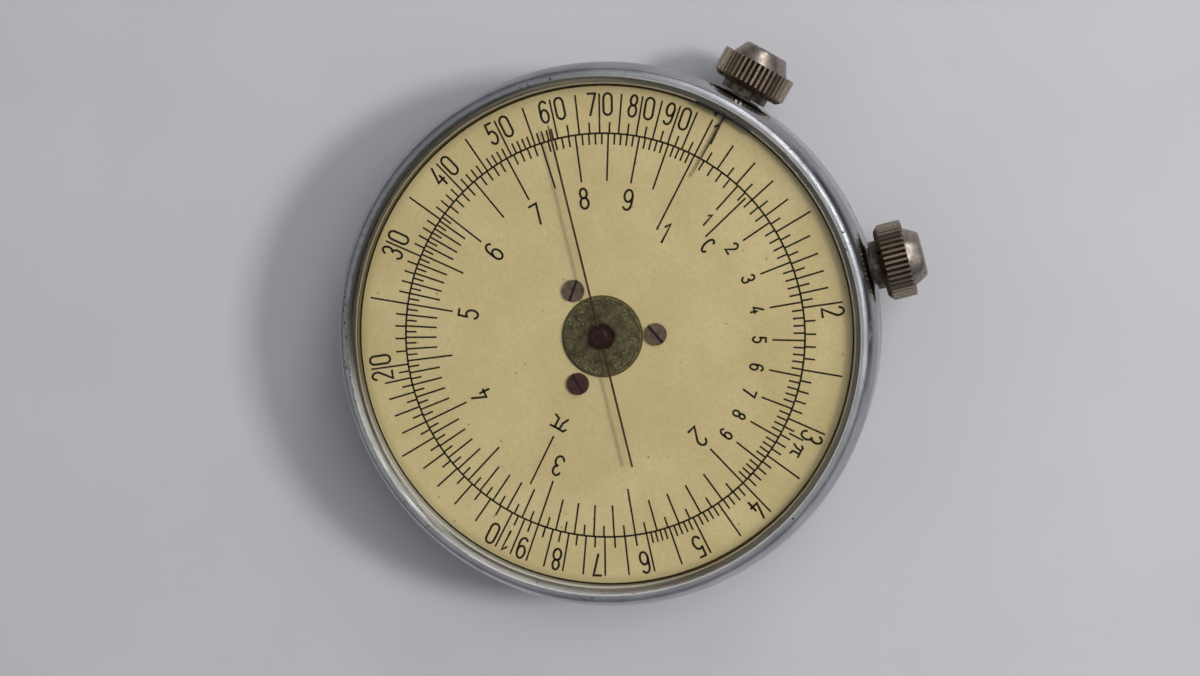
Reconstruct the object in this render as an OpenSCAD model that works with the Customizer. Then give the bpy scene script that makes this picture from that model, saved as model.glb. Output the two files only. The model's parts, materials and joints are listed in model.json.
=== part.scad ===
// Pocket circular slide rule in a watch-style case. The front dial turns, the rear dial is fixed,
// and two hands share one arbor. The upper knob turns the dial and the right knob turns the hands,
// each through a pinion and a contrate wheel. The case lies on its rear crystal: +Z is the dial axis,
// the origin is the centre of that crystal's face, and +Y lies midway between the two knobs.

/* [Case] */
// Outside diameter of the band and of both bezels
case_d = 51.8; // [48:0.2:60]
// Thickness over the faces of the two crystals
case_h = 15.2; // [14.7:0.1:19]
// Thickness of the band's wall
band_wall = 1.3; // [1.2:0.1:1.6]
// Width of the two seat ledges inside the band
ledge_w = 1.6; // [1.4:0.1:2.4]
// Thickness of the seat ledges
ledge_t = 0.8; // [0.6:0.1:1.1]
// Chamfer on each side of the seam between a bezel and the band
seam = 0.12; // [0.05:0.01:0.25]

/* [Bezels and crystals] */
// Height of a bezel from the band's shoulder to its crest
bezel_h = 3.1; // [2.5:0.1:3.2]
// Radius to which the outside of a bezel is rounded
bezel_round = 5.5; // [4:0.1:7]
// Radius of the crest between a bezel's side and its inner edge
crest_round = 0.7; // [0.4:0.05:0.9]
// Chamfer on the inner edge of the crest
bevel_w = 0.2; // [0.1:0.05:0.3]
// Thickness of the band's neck inside a bezel
neck_wall = 0.7; // [0.5:0.05:0.8]
// Height of a crystal's face above the crest
crystal_rise = 1; // [0.8:0.05:1.5]
// Thickness of a crystal
crystal_t = 0.9; // [0.7:0.05:1.1]
// Radius of a crystal's outer edge
crystal_round = 0.5; // [0.2:0.05:0.7]
// Thickness of the crystal's skirt, which is pressed in the bezel
skirt_t = 0.4; // [0.2:0.05:0.45]
// Width of the skirt together with the tension ring inside it
crystal_seat = 0.6; // [0.5:0.05:0.9]
// Height of a tension ring above the dial's face
ring_h = 0.8; // [0.6:0.05:1.2]
// Gap between a crystal and the band's bore
ring_gap = 0.25; // [0.15:0.05:0.35]

/* [Dials] */
// Thickness of a dial
dial_t = 0.5; // [0.3:0.05:0.7]
// Gap round the turning dial
dial_gap = 0.2; // [0.15:0.05:0.5]
// Room between a dial and its crystal
hand_room = 1.9; // [1.8:0.05:2.2]
// Width of the index notch in the dial's edge
notch_w = 0.5; // [0.3:0.05:1]
// Depth of the index notch
notch_depth = 0.35; // [0.2:0.05:0.8]
// Radius of the circle on which the dial screws lie
dial_screw_circle = 5.1; // [4.9:0.1:5.6]
// Diameter of a dial screw's head
dial_screw_head_d = 2.1; // [1.6:0.1:2.2]
// Height of a dial screw's head
dial_screw_head_h = 0.3; // [0.2:0.05:0.4]
// Diameter of a dial screw's shank
dial_screw_d = 1.2; // [0.8:0.1:1.4]
// Diameter of the two feet on the rear dial
dial_foot_d = 0.7; // [0.5:0.05:0.9]

/* [Pointer and hands] */
// Length of the fixed index pointer
pointer_len = 6.5; // [4:0.1:9]
// Width of the pointer at its foot
pointer_w = 0.2; // [0.15:0.05:0.6]
// Thickness of the pointer
pointer_t = 0.15; // [0.1:0.05:0.25]
// Height of the pointer above the dial
pointer_lift = 0.2; // [0.15:0.05:0.3]
// Half of the arc that the pointer's foot covers
pointer_foot_angle = 7; // [3:0.5:12]
// Diameter of the hands' wire
hand_wire_d = 0.2; // [0.15:0.05:0.4]
// Reach of a hand's long end from the axis
hand_len = 20.5; // [15:0.5:22]
// Reach of a hand's tail from the axis
hand_tail = 12.6; // [6:0.2:16]
// Diameter of a hand's hub at its foot
hand_hub_d = 2.4; // [2.4:0.1:3]
// Diameter of a hand's hub at its top
hand_hub_top_d = 1.9; // [1.4:0.1:2.2]

/* [Centre] */
// Diameter of the hands' arbor
arbor_d = 2; // [1.6:0.1:2.1]
// Diameter of the post on which the dial's hub turns
post_d = 5.2; // [4.8:0.1:5.6]
// Diameter of the post's flange under the main plate
post_flange_d = 7.2; // [6.6:0.2:9]
// Thickness of the post's flange
post_flange_t = 0.4; // [0.3:0.05:0.6]
// Diameter of the dial hub's barrel and of the spigot that centres the dial
barrel_d = 7.8; // [7.4:0.1:8]
// Diameter of the dial hub's flange
hub_flange_d = 14; // [13.6:0.2:18]
// Thickness of the dial hub's flange
hub_flange_t = 0.6; // [0.4:0.05:0.8]
// Width of the dial hub's shoulder, against which the dial's wheel is riveted
wheel_seat_w = 0.5; // [0.3:0.1:1]
// Diameter of the retaining disc
retainer_d = 7.1; // [6.6:0.1:7.4]
// Thickness of the retaining disc
retainer_t = 0.4; // [0.3:0.05:0.5]
// Diameter of the retaining disc's spigot in the post
spigot_d = 3.6; // [3.2:0.1:4]
// Length of that spigot
spigot_len = 1.4; // [0.8:0.1:2]
// Diameter of the hands' collet
collet_d = 5.2; // [4.4:0.1:6]
// Thickness of a friction washer
spring_t = 0.15; // [0.1:0.05:0.2]
// Height of a friction washer
spring_h = 0.45; // [0.35:0.05:0.55]

/* [Main plate] */
// Thickness of the main plate
plate_t = 2.2; // [1.8:0.1:2.4]
// Gap between the main plate and the band's bore
plate_gap = 0.1; // [0.05:0.05:0.3]
// Diameter of a plate screw's head
plate_screw_head_d = 1.5; // [1.2:0.1:1.5]
// Height of a plate screw's head
plate_screw_head_h = 0.5; // [0.3:0.05:0.7]
// Diameter of a plate screw's shank
plate_screw_d = 0.8; // [0.6:0.1:1]

/* [Gears] */
// Module of both pinions and wheels
gear_module = 0.4; // [0.38:0.01:0.42]
// Teeth of each pinion
pinion_teeth = 9; // [9:1:10]
// Teeth of the dial's contrate wheel
dial_wheel_teeth = 90; // [80:1:94]
// Teeth of the hands' contrate wheel
hands_wheel_teeth = 63; // [50:1:70]
// Pressure angle of the teeth
pressure_angle = 25; // [22:1:27]
// Play between meshing teeth along the pitch line
backlash = 0.16; // [0.14:0.02:0.24]
// Height of the wheel teeth beyond the pitch plane
wheel_addendum = 0.25; // [0.2:0.01:0.28]
// Height of the pinion teeth beyond the pitch circle
pinion_addendum = 0.3; // [0.24:0.01:0.32]
// Clearance beyond a tooth's tip
tip_gap = 0.12; // [0.1:0.01:0.2]
// Length of a pinion's teeth
pinion_face = 1; // [0.8:0.1:1.2]
// Width of a wheel's toothed rim
wheel_rim_w = 1.4; // [1.2:0.1:1.8]
// Thickness of a wheel's web
wheel_web_t = 0.6; // [0.5:0.05:0.9]
// Number of arms in a wheel
wheel_arms = 5; // [3:1:6]
// Width of a wheel's arms
wheel_arm_w = 2; // [1.2:0.1:3]

/* [Stems and bushes] */
// Diameter of a knob's stem
stem_d = 1.8; // [1.5:0.1:2]
// Diameter of a stem's inner pivot
pivot_d = 1; // [0.8:0.1:1.2]
// Length of a stem's inner pivot
pivot_len = 1.2; // [0.8:0.1:2]
// Diameter of a pinion's boss
boss_d = 2.6; // [2.4:0.1:2.8]
// Length of a pinion's boss
boss_len = 1.2; // [0.8:0.1:2]
// Diameter of the stop collar on a stem
stop_d = 3; // [2.6:0.1:4]
// Thickness of the stop collar
stop_t = 0.6; // [0.4:0.1:1]
// Outside diameter of a bush in the band
bush_d = 3.6; // [3:0.1:4]
// Diameter of a bush's inner flange
bush_flange_d = 4.4; // [4.2:0.1:5]
// Thickness of a bush's inner flange
bush_flange_t = 1.2; // [0.8:0.1:1.6]
// Depth of the flat seat that is cut inside the band for a bush
bush_seat = 0.2; // [0.15:0.05:0.4]
// How far a bush stands out of the band
bush_stand = 0.05; // [0.05:0.05:0.5]

/* [Knobs] */
// Angle between the two knobs
knob_spread = 46; // [40:1:60]
// Diameter over a knob's ribs
knob_d = 7.3; // [6:0.1:8]
// Length of a knob's ribbed rim
knob_len = 2.65; // [2:0.05:4]
// Number of ribs
knob_ribs = 44; // [30:1:50]
// Depth of the grooves between the ribs
rib_depth = 0.3; // [0.1:0.02:0.36]
// Chamfer on the inner edge of a knob's rim
knob_inner_chamfer = 0.5; // [0.2:0.05:0.8]
// Chamfer on the outer edge of a knob's rim
knob_outer_chamfer = 0.1; // [0.05:0.05:0.4]
// Diameter of the collar behind a knob's rim
knob_collar_d = 4.6; // [4:0.1:5.4]
// Length of that collar
knob_collar_len = 0.75; // [0.3:0.05:1]
// Diameter of a knob's cap at its foot
cap_d = 5.6; // [5:0.1:6]
// Diameter of the cap's end, before it is rounded
cap_end_d = 4.1; // [3.4:0.1:4.8]
// Length of a cap
cap_len = 1.4; // [1.2:0.1:2]
// Radius of the cap's rounded end
cap_round = 0.45; // [0.2:0.05:0.6]
// Diameter of the stem's thread in the cap
cap_thread_d = 1.3; // [1:0.1:1.4]
// Diameter of the paint dimple in a cap's end
dimple_d = 1.4; // [1:0.1:1.8]
// Depth of the paint dimple
dimple_depth = 0.15; // [0.1:0.05:0.25]

/* [Clearances] */
// Radial clearance of a shaft in its bearing
running = 0.05; // [0.03:0.01:0.08]
// End play of a turning piece
end_play = 0.1; // [0.08:0.02:0.14]

/* [Rest position] */
// Direction of the dial's index, anticlockwise from +Y
index_angle = 25.1; // [0:0.1:360]
// Direction of the hands' long ends, anticlockwise from +Y
hand_angle = 66.3; // [0:0.1:360]

/* [Hidden] */
$fn = 96;

// Overshoot of a cut past the face that it opens
cut = 1;

// Radii of the case, from the outside in
case_r = case_d / 2;
bore_r = case_r - band_wall;
neck_r = bore_r + neck_wall;
crystal_r = bore_r - ring_gap;
skirt_r = crystal_r - skirt_t;
lip_r = crystal_r - crystal_seat;
dial_r = lip_r - dial_gap;
ledge_r = bore_r - ledge_w;
plate_r = bore_r - plate_gap;
rear_dial_r = crystal_r - running;
screw_circle = bore_r - ledge_w / 2;

// Heights of the front side, from the crystal's face down; the rear side is the same turned over
mid_z = case_h / 2;
shoulder_z = case_h - crystal_rise - bezel_h;
crystal_bottom = case_h - crystal_t;
dial_top = crystal_bottom - hand_room;
dial_bottom = dial_top - dial_t;
ring_drop = 0.2;
front_ring_bottom = dial_top - ring_drop;
ring_top = dial_top + ring_h;
retainer_bottom = dial_top + end_play;
retainer_top = retainer_bottom + retainer_t;
hand_z = (retainer_top + crystal_bottom) / 2;
hub_top = crystal_bottom - end_play;
rear_dial_top = case_h - dial_bottom;
plate_bottom = mid_z - plate_t / 2;
plate_top = mid_z + plate_t / 2;

// Gear sizes
pitch = PI * gear_module;
pinion_r = gear_module * pinion_teeth / 2;
dial_wheel_r = gear_module * dial_wheel_teeth / 2;
hands_wheel_r = gear_module * hands_wheel_teeth / 2;
pinion_tip_r = pinion_r + pinion_addendum;
pinion_root_r = pinion_r - wheel_addendum - tip_gap;
base_r = pinion_r * cos(pressure_angle);
tooth_w = (pitch - backlash) / 2;
space_w = pitch - tooth_w;
wheel_dedendum = pinion_addendum + tip_gap;
dial_root_z = mid_z + pinion_r + wheel_dedendum;
dial_web_top = dial_root_z + wheel_web_t;
hands_root_z = mid_z - pinion_r - wheel_dedendum;
hands_web_bottom = hands_root_z - wheel_web_t;

// Radii of the centre
arbor_r = arbor_d / 2;
arbor_bore_r = arbor_r + running;
post_r = post_d / 2;
barrel_r = barrel_d / 2;
hub_pocket_r = hand_hub_d / 2 + 3 * running;
hub_sink = 0.2;

// Heights of the centre
post_bottom = plate_bottom - post_flange_t;
hub_bottom = plate_top + spring_h + running;
flange_bottom = dial_bottom - hub_flange_t;
collet_top = post_bottom - spring_h - running;
collet_bottom = hands_web_bottom - end_play;

// Distances along a knob's axis from the case's axis
bush_face = bore_r + bush_seat;
bush_in = bush_face - bush_flange_t;
bush_out = case_r + bush_stand;
stop_out = bush_in - end_play;
knob_in = bush_out + end_play;
rim_in = knob_in + knob_collar_len;
rim_out = rim_in + knob_len;
cap_out = rim_out + cap_len;
thread_out = rim_out + cap_len / 2;
stem_r = stem_d / 2;
pivot_r = pivot_d / 2;
shoulder_len = 0.3;
slot_half = max(pinion_tip_r, bush_flange_d / 2) + end_play + running;

// Directions, measured from +X
dial_az = 90 + knob_spread / 2;
hands_az = 90 - knob_spread / 2;
index_az = 90 + index_angle;
hand_az = 90 + hand_angle;
screw_az = [for (i = [0:2]) index_az + 60 + i * 120];
// Direction of the slot in each dial screw
slot_az = [122.1, 173.1, 184.1];
plate_screw_az = [for (i = [0:2]) 30 + i * 120];
foot_az = [0, 180];

// Places a shape whose +Z runs outwards along a knob's axis
module on_knob_axis(az) {
    translate([0, 0, mid_z]) rotate([0, 0, az]) rotate([0, 90, 0]) children();
}

// Turns a front-side shape over to the rear side
module rear_side() {
    translate([0, 0, case_h]) rotate([180, 0, 0]) children();
}

// Solid cylinder between two heights
module rod(r, from, to) {
    translate([0, 0, from]) cylinder(h = to - from, r = r);
}

// Tube between two heights
module tube(r_in, r_out, from, to) {
    difference() {
        rod(r_out, from, to);
        rod(r_in, from - cut, to + cut);
    }
}

// Slotted screw head with its shank below, head seated at z = 0
module slotted_screw(head_d, head_h, shank_d, shank_len, slot_angle) {
    slot_w = head_d / 8;
    slot_depth = head_h * 0.7;
    difference() {
        union() {
            cylinder(h = head_h, d = head_d);
            translate([0, 0, -shank_len]) cylinder(h = shank_len + head_h / 2, d = shank_d);
        }
        rotate([0, 0, slot_angle]) translate([-head_d, -slot_w / 2, head_h - slot_depth])
            cube([2 * head_d, slot_w, head_h]);
    }
}

// Cross-section of a bezel, with z = 0 at the band's shoulder: the crest's round touches the side's
module bezel_section() {
    neck_h = dial_top - shoulder_z;
    side_x = case_r - bezel_round;
    crest_z = bezel_h - crest_round;
    lean = acos((crest_z - seam) / (bezel_round - crest_round));
    crest_x = side_x + (bezel_round - crest_round) * sin(lean);
    reach = 2 * crest_round;
    difference() {
        polygon([
            [neck_r, 0], [case_r - seam, 0], [case_r, seam], [case_r, bezel_h],
            [crystal_r + bevel_w, bezel_h], [crystal_r, bezel_h - bevel_w],
            [crystal_r, neck_h], [neck_r, neck_h],
        ]);
        translate([side_x, seam]) difference() {
            square(bezel_round + cut);
            circle(r = bezel_round);
        }
        translate([crest_x, crest_z]) difference() {
            polygon([[0, 0], reach * [sin(lean), cos(lean)], [reach, reach], [0, reach]]);
            circle(r = crest_round);
        }
    }
}

module bezel() {
    translate([0, 0, shoulder_z]) rotate_extrude() bezel_section();
}

// Shallow cup with a rounded edge, whose skirt reaches down to the level of the dial
module crystal() {
    rotate_extrude() difference() {
        polygon([
            [0, crystal_bottom], [skirt_r, crystal_bottom], [skirt_r, dial_top],
            [crystal_r, dial_top], [crystal_r, case_h], [0, case_h],
        ]);
        translate([crystal_r - crystal_round, case_h - crystal_round]) difference() {
            square(crystal_round + cut);
            circle(r = crystal_round);
        }
    }
}

// Cross-section of the band: outer wall, two necks and the two seat ledges
module band_section() {
    foot_z = case_h - shoulder_z;
    neck_bottom = case_h - dial_top;
    polygon([
        [bore_r, foot_z], [case_r - seam, foot_z], [case_r, foot_z + seam],
        [case_r, shoulder_z - seam], [case_r - seam, shoulder_z], [bore_r, shoulder_z],
    ]);
    translate([bore_r, neck_bottom]) square([neck_wall, dial_top - neck_bottom]);
    for (z = [rear_dial_top, plate_bottom - ledge_t])
        translate([ledge_r, z]) square([ledge_w + neck_wall / 2, ledge_t]);
}

module case_band() {
    color("silver") difference() {
        rotate_extrude() band_section();
        for (az = [dial_az, hands_az]) on_knob_axis(az) {
            rod(slot_half, ledge_r - cut, bush_face);
            rod(bush_d / 2, bore_r, case_r + cut);
        }
        for (az = plate_screw_az) rotate([0, 0, az]) translate([screw_circle, 0, 0])
            rod(plate_screw_d / 2, plate_bottom - ledge_t - end_play, plate_bottom + end_play);
        for (az = foot_az) rotate([0, 0, az]) translate([screw_circle, 0, 0])
            rod(dial_foot_d / 2, rear_dial_top - end_play, rear_dial_top + ledge_t + end_play);
    }
}

module front_bezel() {
    color("silver") bezel();
}

module rear_bezel() {
    color("silver") rear_side() bezel();
}

module front_crystal() {
    color("azure", 0.3) crystal();
}

module rear_crystal() {
    color("azure", 0.3) rear_side() crystal();
}

module front_crystal_ring() {
    color("lightgray") tube(lip_r, skirt_r, front_ring_bottom, ring_top);
}

module rear_crystal_ring() {
    color("lightgray") rear_side() tube(lip_r, skirt_r, dial_top, ring_top);
}

// Needle whose curved foot hooks over the front crystal's ring
module index_pointer() {
    needle_z = dial_top + pointer_lift;
    foot_r = lip_r - dial_gap + running;
    foot_top = ring_top + pointer_t;
    color("#2b1d18") rotate([0, 0, dial_az]) {
        rotate([0, 0, -pointer_foot_angle]) rotate_extrude(angle = 2 * pointer_foot_angle) polygon([
            [foot_r, needle_z], [lip_r, needle_z], [lip_r, ring_top],
            [skirt_r, ring_top], [skirt_r, foot_top], [foot_r, foot_top],
        ]);
        translate([0, 0, needle_z]) linear_extrude(pointer_t) polygon([
            [(foot_r + lip_r) / 2, -pointer_w / 2], [(foot_r + lip_r) / 2, pointer_w / 2],
            [lip_r - pointer_len, pointer_w / 6], [lip_r - pointer_len, -pointer_w / 6],
        ]);
    }
}

// Fixed dial between the band's ledge and the rear crystal's ring, located by two feet
module rear_dial() {
    color("#b8aa80") {
        rear_side() tube(arbor_r + dial_gap, rear_dial_r, dial_bottom, dial_top);
        for (az = foot_az) rotate([0, 0, az]) translate([screw_circle, 0, 0])
            rod(dial_foot_d / 2, rear_dial_top - dial_t / 2, rear_dial_top + ledge_t);
    }
}

// Inner end of the slot in the main plate that takes a knob's stem and pinion
function slot_in(wheel_r) = wheel_r - pinion_face / 2 - shoulder_len - end_play;

module stem_slot(az, wheel_r) {
    rotate([0, 0, az]) translate([slot_in(wheel_r), -slot_half, plate_bottom - cut])
        cube([plate_r, 2 * slot_half, plate_t + 2 * cut]);
    on_knob_axis(az)
        rod(pivot_r + running, slot_in(wheel_r) - pivot_len - end_play, slot_in(wheel_r) + end_play);
}

module main_plate() {
    color("goldenrod") difference() {
        rod(plate_r, plate_bottom, plate_top);
        rod(post_r, plate_bottom - cut, plate_top + cut);
        stem_slot(dial_az, dial_wheel_r);
        stem_slot(hands_az, hands_wheel_r);
        for (az = plate_screw_az) rotate([0, 0, az]) translate([screw_circle, 0, 0])
            rod(plate_screw_d / 2, plate_bottom - cut, plate_top + cut);
    }
}

module plate_screws() {
    color("steelblue") for (az = plate_screw_az) rotate([0, 0, az])
        translate([screw_circle, 0, plate_top])
            slotted_screw(plate_screw_head_d, plate_screw_head_h, plate_screw_d, plate_t + ledge_t, az);
}

// Bush in the main plate: the dial's hub turns on it and the hands' arbor turns in it
module centre_post() {
    color("khaki") difference() {
        union() {
            rod(post_r, post_bottom, dial_top);
            rod(post_flange_d / 2, post_bottom, plate_bottom);
        }
        rod(arbor_bore_r, post_bottom - cut, dial_top + cut);
        rod(spigot_d / 2, dial_top - spigot_len, dial_top + cut);
    }
}

// Disc with a spigot in the post; it keeps the dial's hub down and has a pocket for the hand's hub
module dial_retainer() {
    color("#5c5a3a") difference() {
        union() {
            rod(retainer_d / 2, retainer_bottom, retainer_top);
            rod(spigot_d / 2, dial_top - spigot_len, retainer_top);
            rod(post_r, dial_top, retainer_top);
        }
        rod(arbor_bore_r, dial_top - spigot_len - cut, retainer_top + cut);
        rod(hub_pocket_r, retainer_top - hub_sink, retainer_top + cut);
    }
}

// Dished washer round a shaft; it rises from its wide rim at z = 0
module dished_washer(shaft_r, rim_r) {
    bore = shaft_r + 2 * running;
    rotate_extrude() polygon([
        [rim_r, 0], [rim_r, spring_t], [bore, spring_h], [bore, spring_h - spring_t],
    ]);
}

// Washer between the main plate and the dial's hub
module dial_spring() {
    color("gold") translate([0, 0, plate_top]) dished_washer(post_r, barrel_r);
}

// Washer between the post's flange and the collet, with its wide rim on the flange
module hands_spring() {
    color("gold") translate([0, 0, post_bottom]) rotate([180, 0, 0])
        dished_washer(arbor_r, post_flange_d / 2);
}

module knob_bush(az) {
    on_knob_axis(az) difference() {
        union() {
            rod(bush_flange_d / 2, bush_in, bush_face);
            rod(bush_d / 2, bush_in, bush_out);
        }
        rod(stem_r + running, bush_in - cut, bush_out + cut);
    }
}

module dial_knob_bush() {
    color("khaki") knob_bush(dial_az);
}

module hands_knob_bush() {
    color("khaki") knob_bush(hands_az);
}

// Turning dial, with a V notch in its edge at the index
module front_dial() {
    color("#b8aa80") difference() {
        tube(barrel_r, dial_r, dial_bottom, dial_top);
        for (az = screw_az) rotate([0, 0, az]) translate([dial_screw_circle, 0, 0])
            rod(dial_screw_d / 2, dial_bottom - cut, dial_top + cut);
        rotate([0, 0, index_az]) translate([dial_r, 0, dial_bottom - cut])
            linear_extrude(dial_t + 2 * cut) polygon([
                [-notch_depth, 0], [notch_depth, -notch_w], [notch_depth, notch_w],
            ]);
    }
}

// Hub that turns on the post: barrel with a shoulder for the wheel, flange under the dial
// and a spigot in the dial's hole
module dial_hub() {
    color("khaki") difference() {
        union() {
            rod(barrel_r, hub_bottom, dial_top);
            rod(barrel_r + wheel_seat_w, dial_web_top, dial_bottom);
            rod(hub_flange_d / 2, flange_bottom, dial_bottom);
        }
        rod(post_r + running, hub_bottom - cut, dial_top + cut);
        for (az = screw_az) rotate([0, 0, az]) translate([dial_screw_circle, 0, 0])
            rod(dial_screw_d / 2, flange_bottom, dial_top + cut);
    }
}

// Contrate wheel with its teeth up: z = 0 is the root plane and a tooth space lies along +X
module contrate_wheel(teeth, bore) {
    wheel_r = gear_module * teeth / 2;
    rim_in = wheel_r - wheel_rim_w / 2;
    tip_z = wheel_dedendum + wheel_addendum;
    slope = tan(pressure_angle);
    root_half = space_w / 2 - wheel_dedendum * slope;
    over_half = root_half + (tip_z + cut) * slope;
    window_in = bore + wheel_arm_w + hub_flange_d / 4;
    difference() {
        union() {
            rod(wheel_r + wheel_rim_w / 2, -wheel_web_t, 0);
            tube(rim_in, wheel_r + wheel_rim_w / 2, -wheel_web_t / 2, tip_z);
        }
        rod(bore, -wheel_web_t - cut, cut);
        for (i = [0:teeth - 1]) rotate([0, 0, i * 360 / teeth])
            translate([rim_in - cut, 0, 0]) rotate([90, 0, 90]) linear_extrude(wheel_rim_w + 2 * cut)
                polygon([
                    [-root_half, 0], [root_half, 0], [over_half, tip_z + cut], [-over_half, tip_z + cut],
                ]);
        for (i = [0:wheel_arms - 1]) wheel_window(window_in, rim_in - wheel_arm_w / 2, i);
    }
}

// Opening between two arms of a wheel
module wheel_window(r_in, r_out, i) {
    arm_angle = asin(wheel_arm_w / (r_in + r_out)) * 2;
    rotate([0, 0, (i + 0.5) * 360 / wheel_arms + arm_angle / 2])
        rotate_extrude(angle = 360 / wheel_arms - arm_angle)
            translate([r_in, -wheel_web_t - cut]) square([r_out - r_in, wheel_web_t + 2 * cut]);
}

module dial_wheel() {
    color("goldenrod") translate([0, 0, dial_root_z]) rotate([0, 0, dial_az]) rotate([180, 0, 0])
        contrate_wheel(dial_wheel_teeth, barrel_r);
}

// Three screws hold the dial on its hub's flange
module dial_screws() {
    color("dimgray") for (i = [0:2]) rotate([0, 0, screw_az[i]])
        translate([dial_screw_circle, 0, dial_top])
            slotted_screw(
                dial_screw_head_d, dial_screw_head_h, dial_screw_d, dial_top - flange_bottom,
                slot_az[i] - screw_az[i]
            );
}

// Spindle that carries both hands, with the hands' wheel between
module hands_arbor() {
    wire_gap = hand_wire_d;
    color("lightsteelblue") rod(arbor_r, case_h - hand_z + wire_gap, hand_z - wire_gap);
}

// Collet pressed on the arbor; the hands' wheel is riveted over its waist
module hands_collet() {
    color("khaki") difference() {
        union() {
            rod(collet_d / 2, hands_root_z, collet_top);
            rod(collet_d / 2 - wheel_web_t / 2, collet_bottom, collet_top);
        }
        rod(arbor_r, collet_bottom - cut, collet_top + cut);
    }
}

module hands_wheel() {
    color("goldenrod") translate([0, 0, hands_root_z]) rotate([0, 0, hands_az])
        contrate_wheel(hands_wheel_teeth, collet_d / 2 - wheel_web_t / 2);
}

// Straight wire through the hub, with a fine point on its long end
module hand_wire() {
    point_len = 4 * hand_wire_d;
    wire_r = hand_wire_d / 2;
    translate([0, 0, hand_z]) rotate([0, 0, hand_az]) rotate([0, 90, 0]) {
        rod(wire_r, -hand_tail, hand_len - point_len);
        translate([0, 0, hand_len - point_len]) cylinder(h = point_len, r1 = wire_r, r2 = wire_r / 3);
    }
}

// Tapered hub, pressed on the arbor's end and cross-drilled for the wire
module hand_hub() {
    difference() {
        translate([0, 0, retainer_top - hub_sink + end_play])
            cylinder(h = hub_top - retainer_top + hub_sink - end_play, d1 = hand_hub_d, d2 = hand_hub_top_d);
        rod(arbor_r, retainer_top - hub_sink - cut, hand_z - hand_wire_d);
        translate([0, 0, hand_z]) rotate([0, 0, hand_az]) rotate([0, 90, 0])
            rod(hand_wire_d / 2, -hand_hub_d, hand_hub_d);
    }
}

// Turns a hand over to the rear, in the same direction as the front one
module rear_hand_side() {
    rotate([0, 0, hand_az]) rear_side() rotate([0, 0, -hand_az]) children();
}

module front_hand() {
    color("#5a2a1c") hand_wire();
}

module front_hand_hub() {
    color("#4a1420") hand_hub();
}

module rear_hand() {
    color("#5a2a1c") rear_hand_side() hand_wire();
}

module rear_hand_hub() {
    color("#4a1420") rear_hand_side() hand_hub();
}

// Outline of a knob's ribbed rim
module rib_outline() {
    step = 360 / knob_ribs;
    crest_half = step / 5;
    rim_r = knob_d / 2;
    polygon([for (i = [0:knob_ribs - 1]) each [
        for (turn = [-crest_half, crest_half]) rim_r * [cos(i * step + turn), sin(i * step + turn)],
        (rim_r - rib_depth) * [cos((i + 0.5) * step), sin((i + 0.5) * step)],
    ]]);
}

// Knob with a ribbed rim, chamfered on both edges, and a plain collar towards the case
module ribbed_knob(az) {
    over = rib_depth;
    rim_r = knob_d / 2;
    on_knob_axis(az) difference() {
        union() {
            rod(knob_collar_d / 2, knob_in, rim_in + knob_len / 2);
            translate([0, 0, rim_in]) intersection() {
                linear_extrude(knob_len) rib_outline();
                rotate_extrude() polygon([
                    [0, 0], [rim_r - knob_inner_chamfer, 0], [rim_r + over, knob_inner_chamfer + over],
                    [rim_r + over, knob_len - knob_outer_chamfer - over],
                    [rim_r - knob_outer_chamfer, knob_len], [0, knob_len],
                ]);
            }
        }
        rod(stem_r, knob_in - cut, rim_out + cut);
    }
}

// Tapered cap with a rounded end, a threaded hole for the stem and a paint dimple
module knob_cap(az) {
    cap_r = cap_d / 2;
    slope = atan((cap_d - cap_end_d) / 2 / cap_len);
    round_z = cap_len - cap_round;
    round_x = cap_r - round_z * tan(slope) - cap_round / cos(slope);
    tangent_z = round_z + cap_round * sin(slope);
    on_knob_axis(az) translate([0, 0, rim_out]) difference() {
        rotate_extrude() intersection() {
            polygon([[0, 0], [cap_r, 0], [cap_end_d / 2, cap_len], [0, cap_len]]);
            union() {
                square([cap_r, tangent_z]);
                square([round_x, cap_len]);
                translate([round_x, round_z]) circle(r = cap_round);
            }
        }
        rod(cap_thread_d / 2, -cut, thread_out - rim_out);
        rod(dimple_d / 2, cap_len - dimple_depth, cap_len + cut);
    }
}

// Stem with an inner pivot in the main plate and a thread for the cap
module knob_stem(az, wheel_r) {
    shoulder = slot_in(wheel_r) + end_play;
    on_knob_axis(az) {
        rod(pivot_r, shoulder - pivot_len, shoulder + shoulder_len);
        rod(stem_r, shoulder, rim_out);
        rod(cap_thread_d / 2, rim_out - end_play, thread_out);
    }
}

// Points of one pinion tooth: radial root, involute flanks, and the same down the other side
function involute(a) = tan(a) * 180 / PI - a;
function tooth_half(r) = tooth_w / (2 * pinion_r) * 180 / PI + involute(pressure_angle)
    - involute(acos(min(1, base_r / r)));
function polar(r, a) = r * [cos(a), sin(a)];
flank_r = [for (i = [0:4]) base_r + (pinion_tip_r - base_r) * i / 4];

module pinion_outline() {
    root_half = tooth_half(base_r);
    polygon([for (i = [0:pinion_teeth - 1]) let (a = i * 360 / pinion_teeth) each [
        polar(pinion_root_r, a - root_half),
        for (r = flank_r) polar(r, a - tooth_half(r)),
        for (k = [4:-1:0]) polar(flank_r[k], a + tooth_half(flank_r[k])),
        polar(pinion_root_r, a + root_half),
    ]]);
}

// Pinion with a tooth towards its wheel: turn is 0 for a wheel below it and 180 for one above
module pinion(az, wheel_r, turn) {
    from = wheel_r - pinion_face / 2;
    on_knob_axis(az) difference() {
        union() {
            translate([0, 0, from]) rotate([0, 0, turn]) linear_extrude(pinion_face) pinion_outline();
            rod(boss_d / 2, from + pinion_face / 2, from + pinion_face + boss_len);
        }
        rod(stem_r, from - cut, from + pinion_face + boss_len + cut);
    }
}

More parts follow.
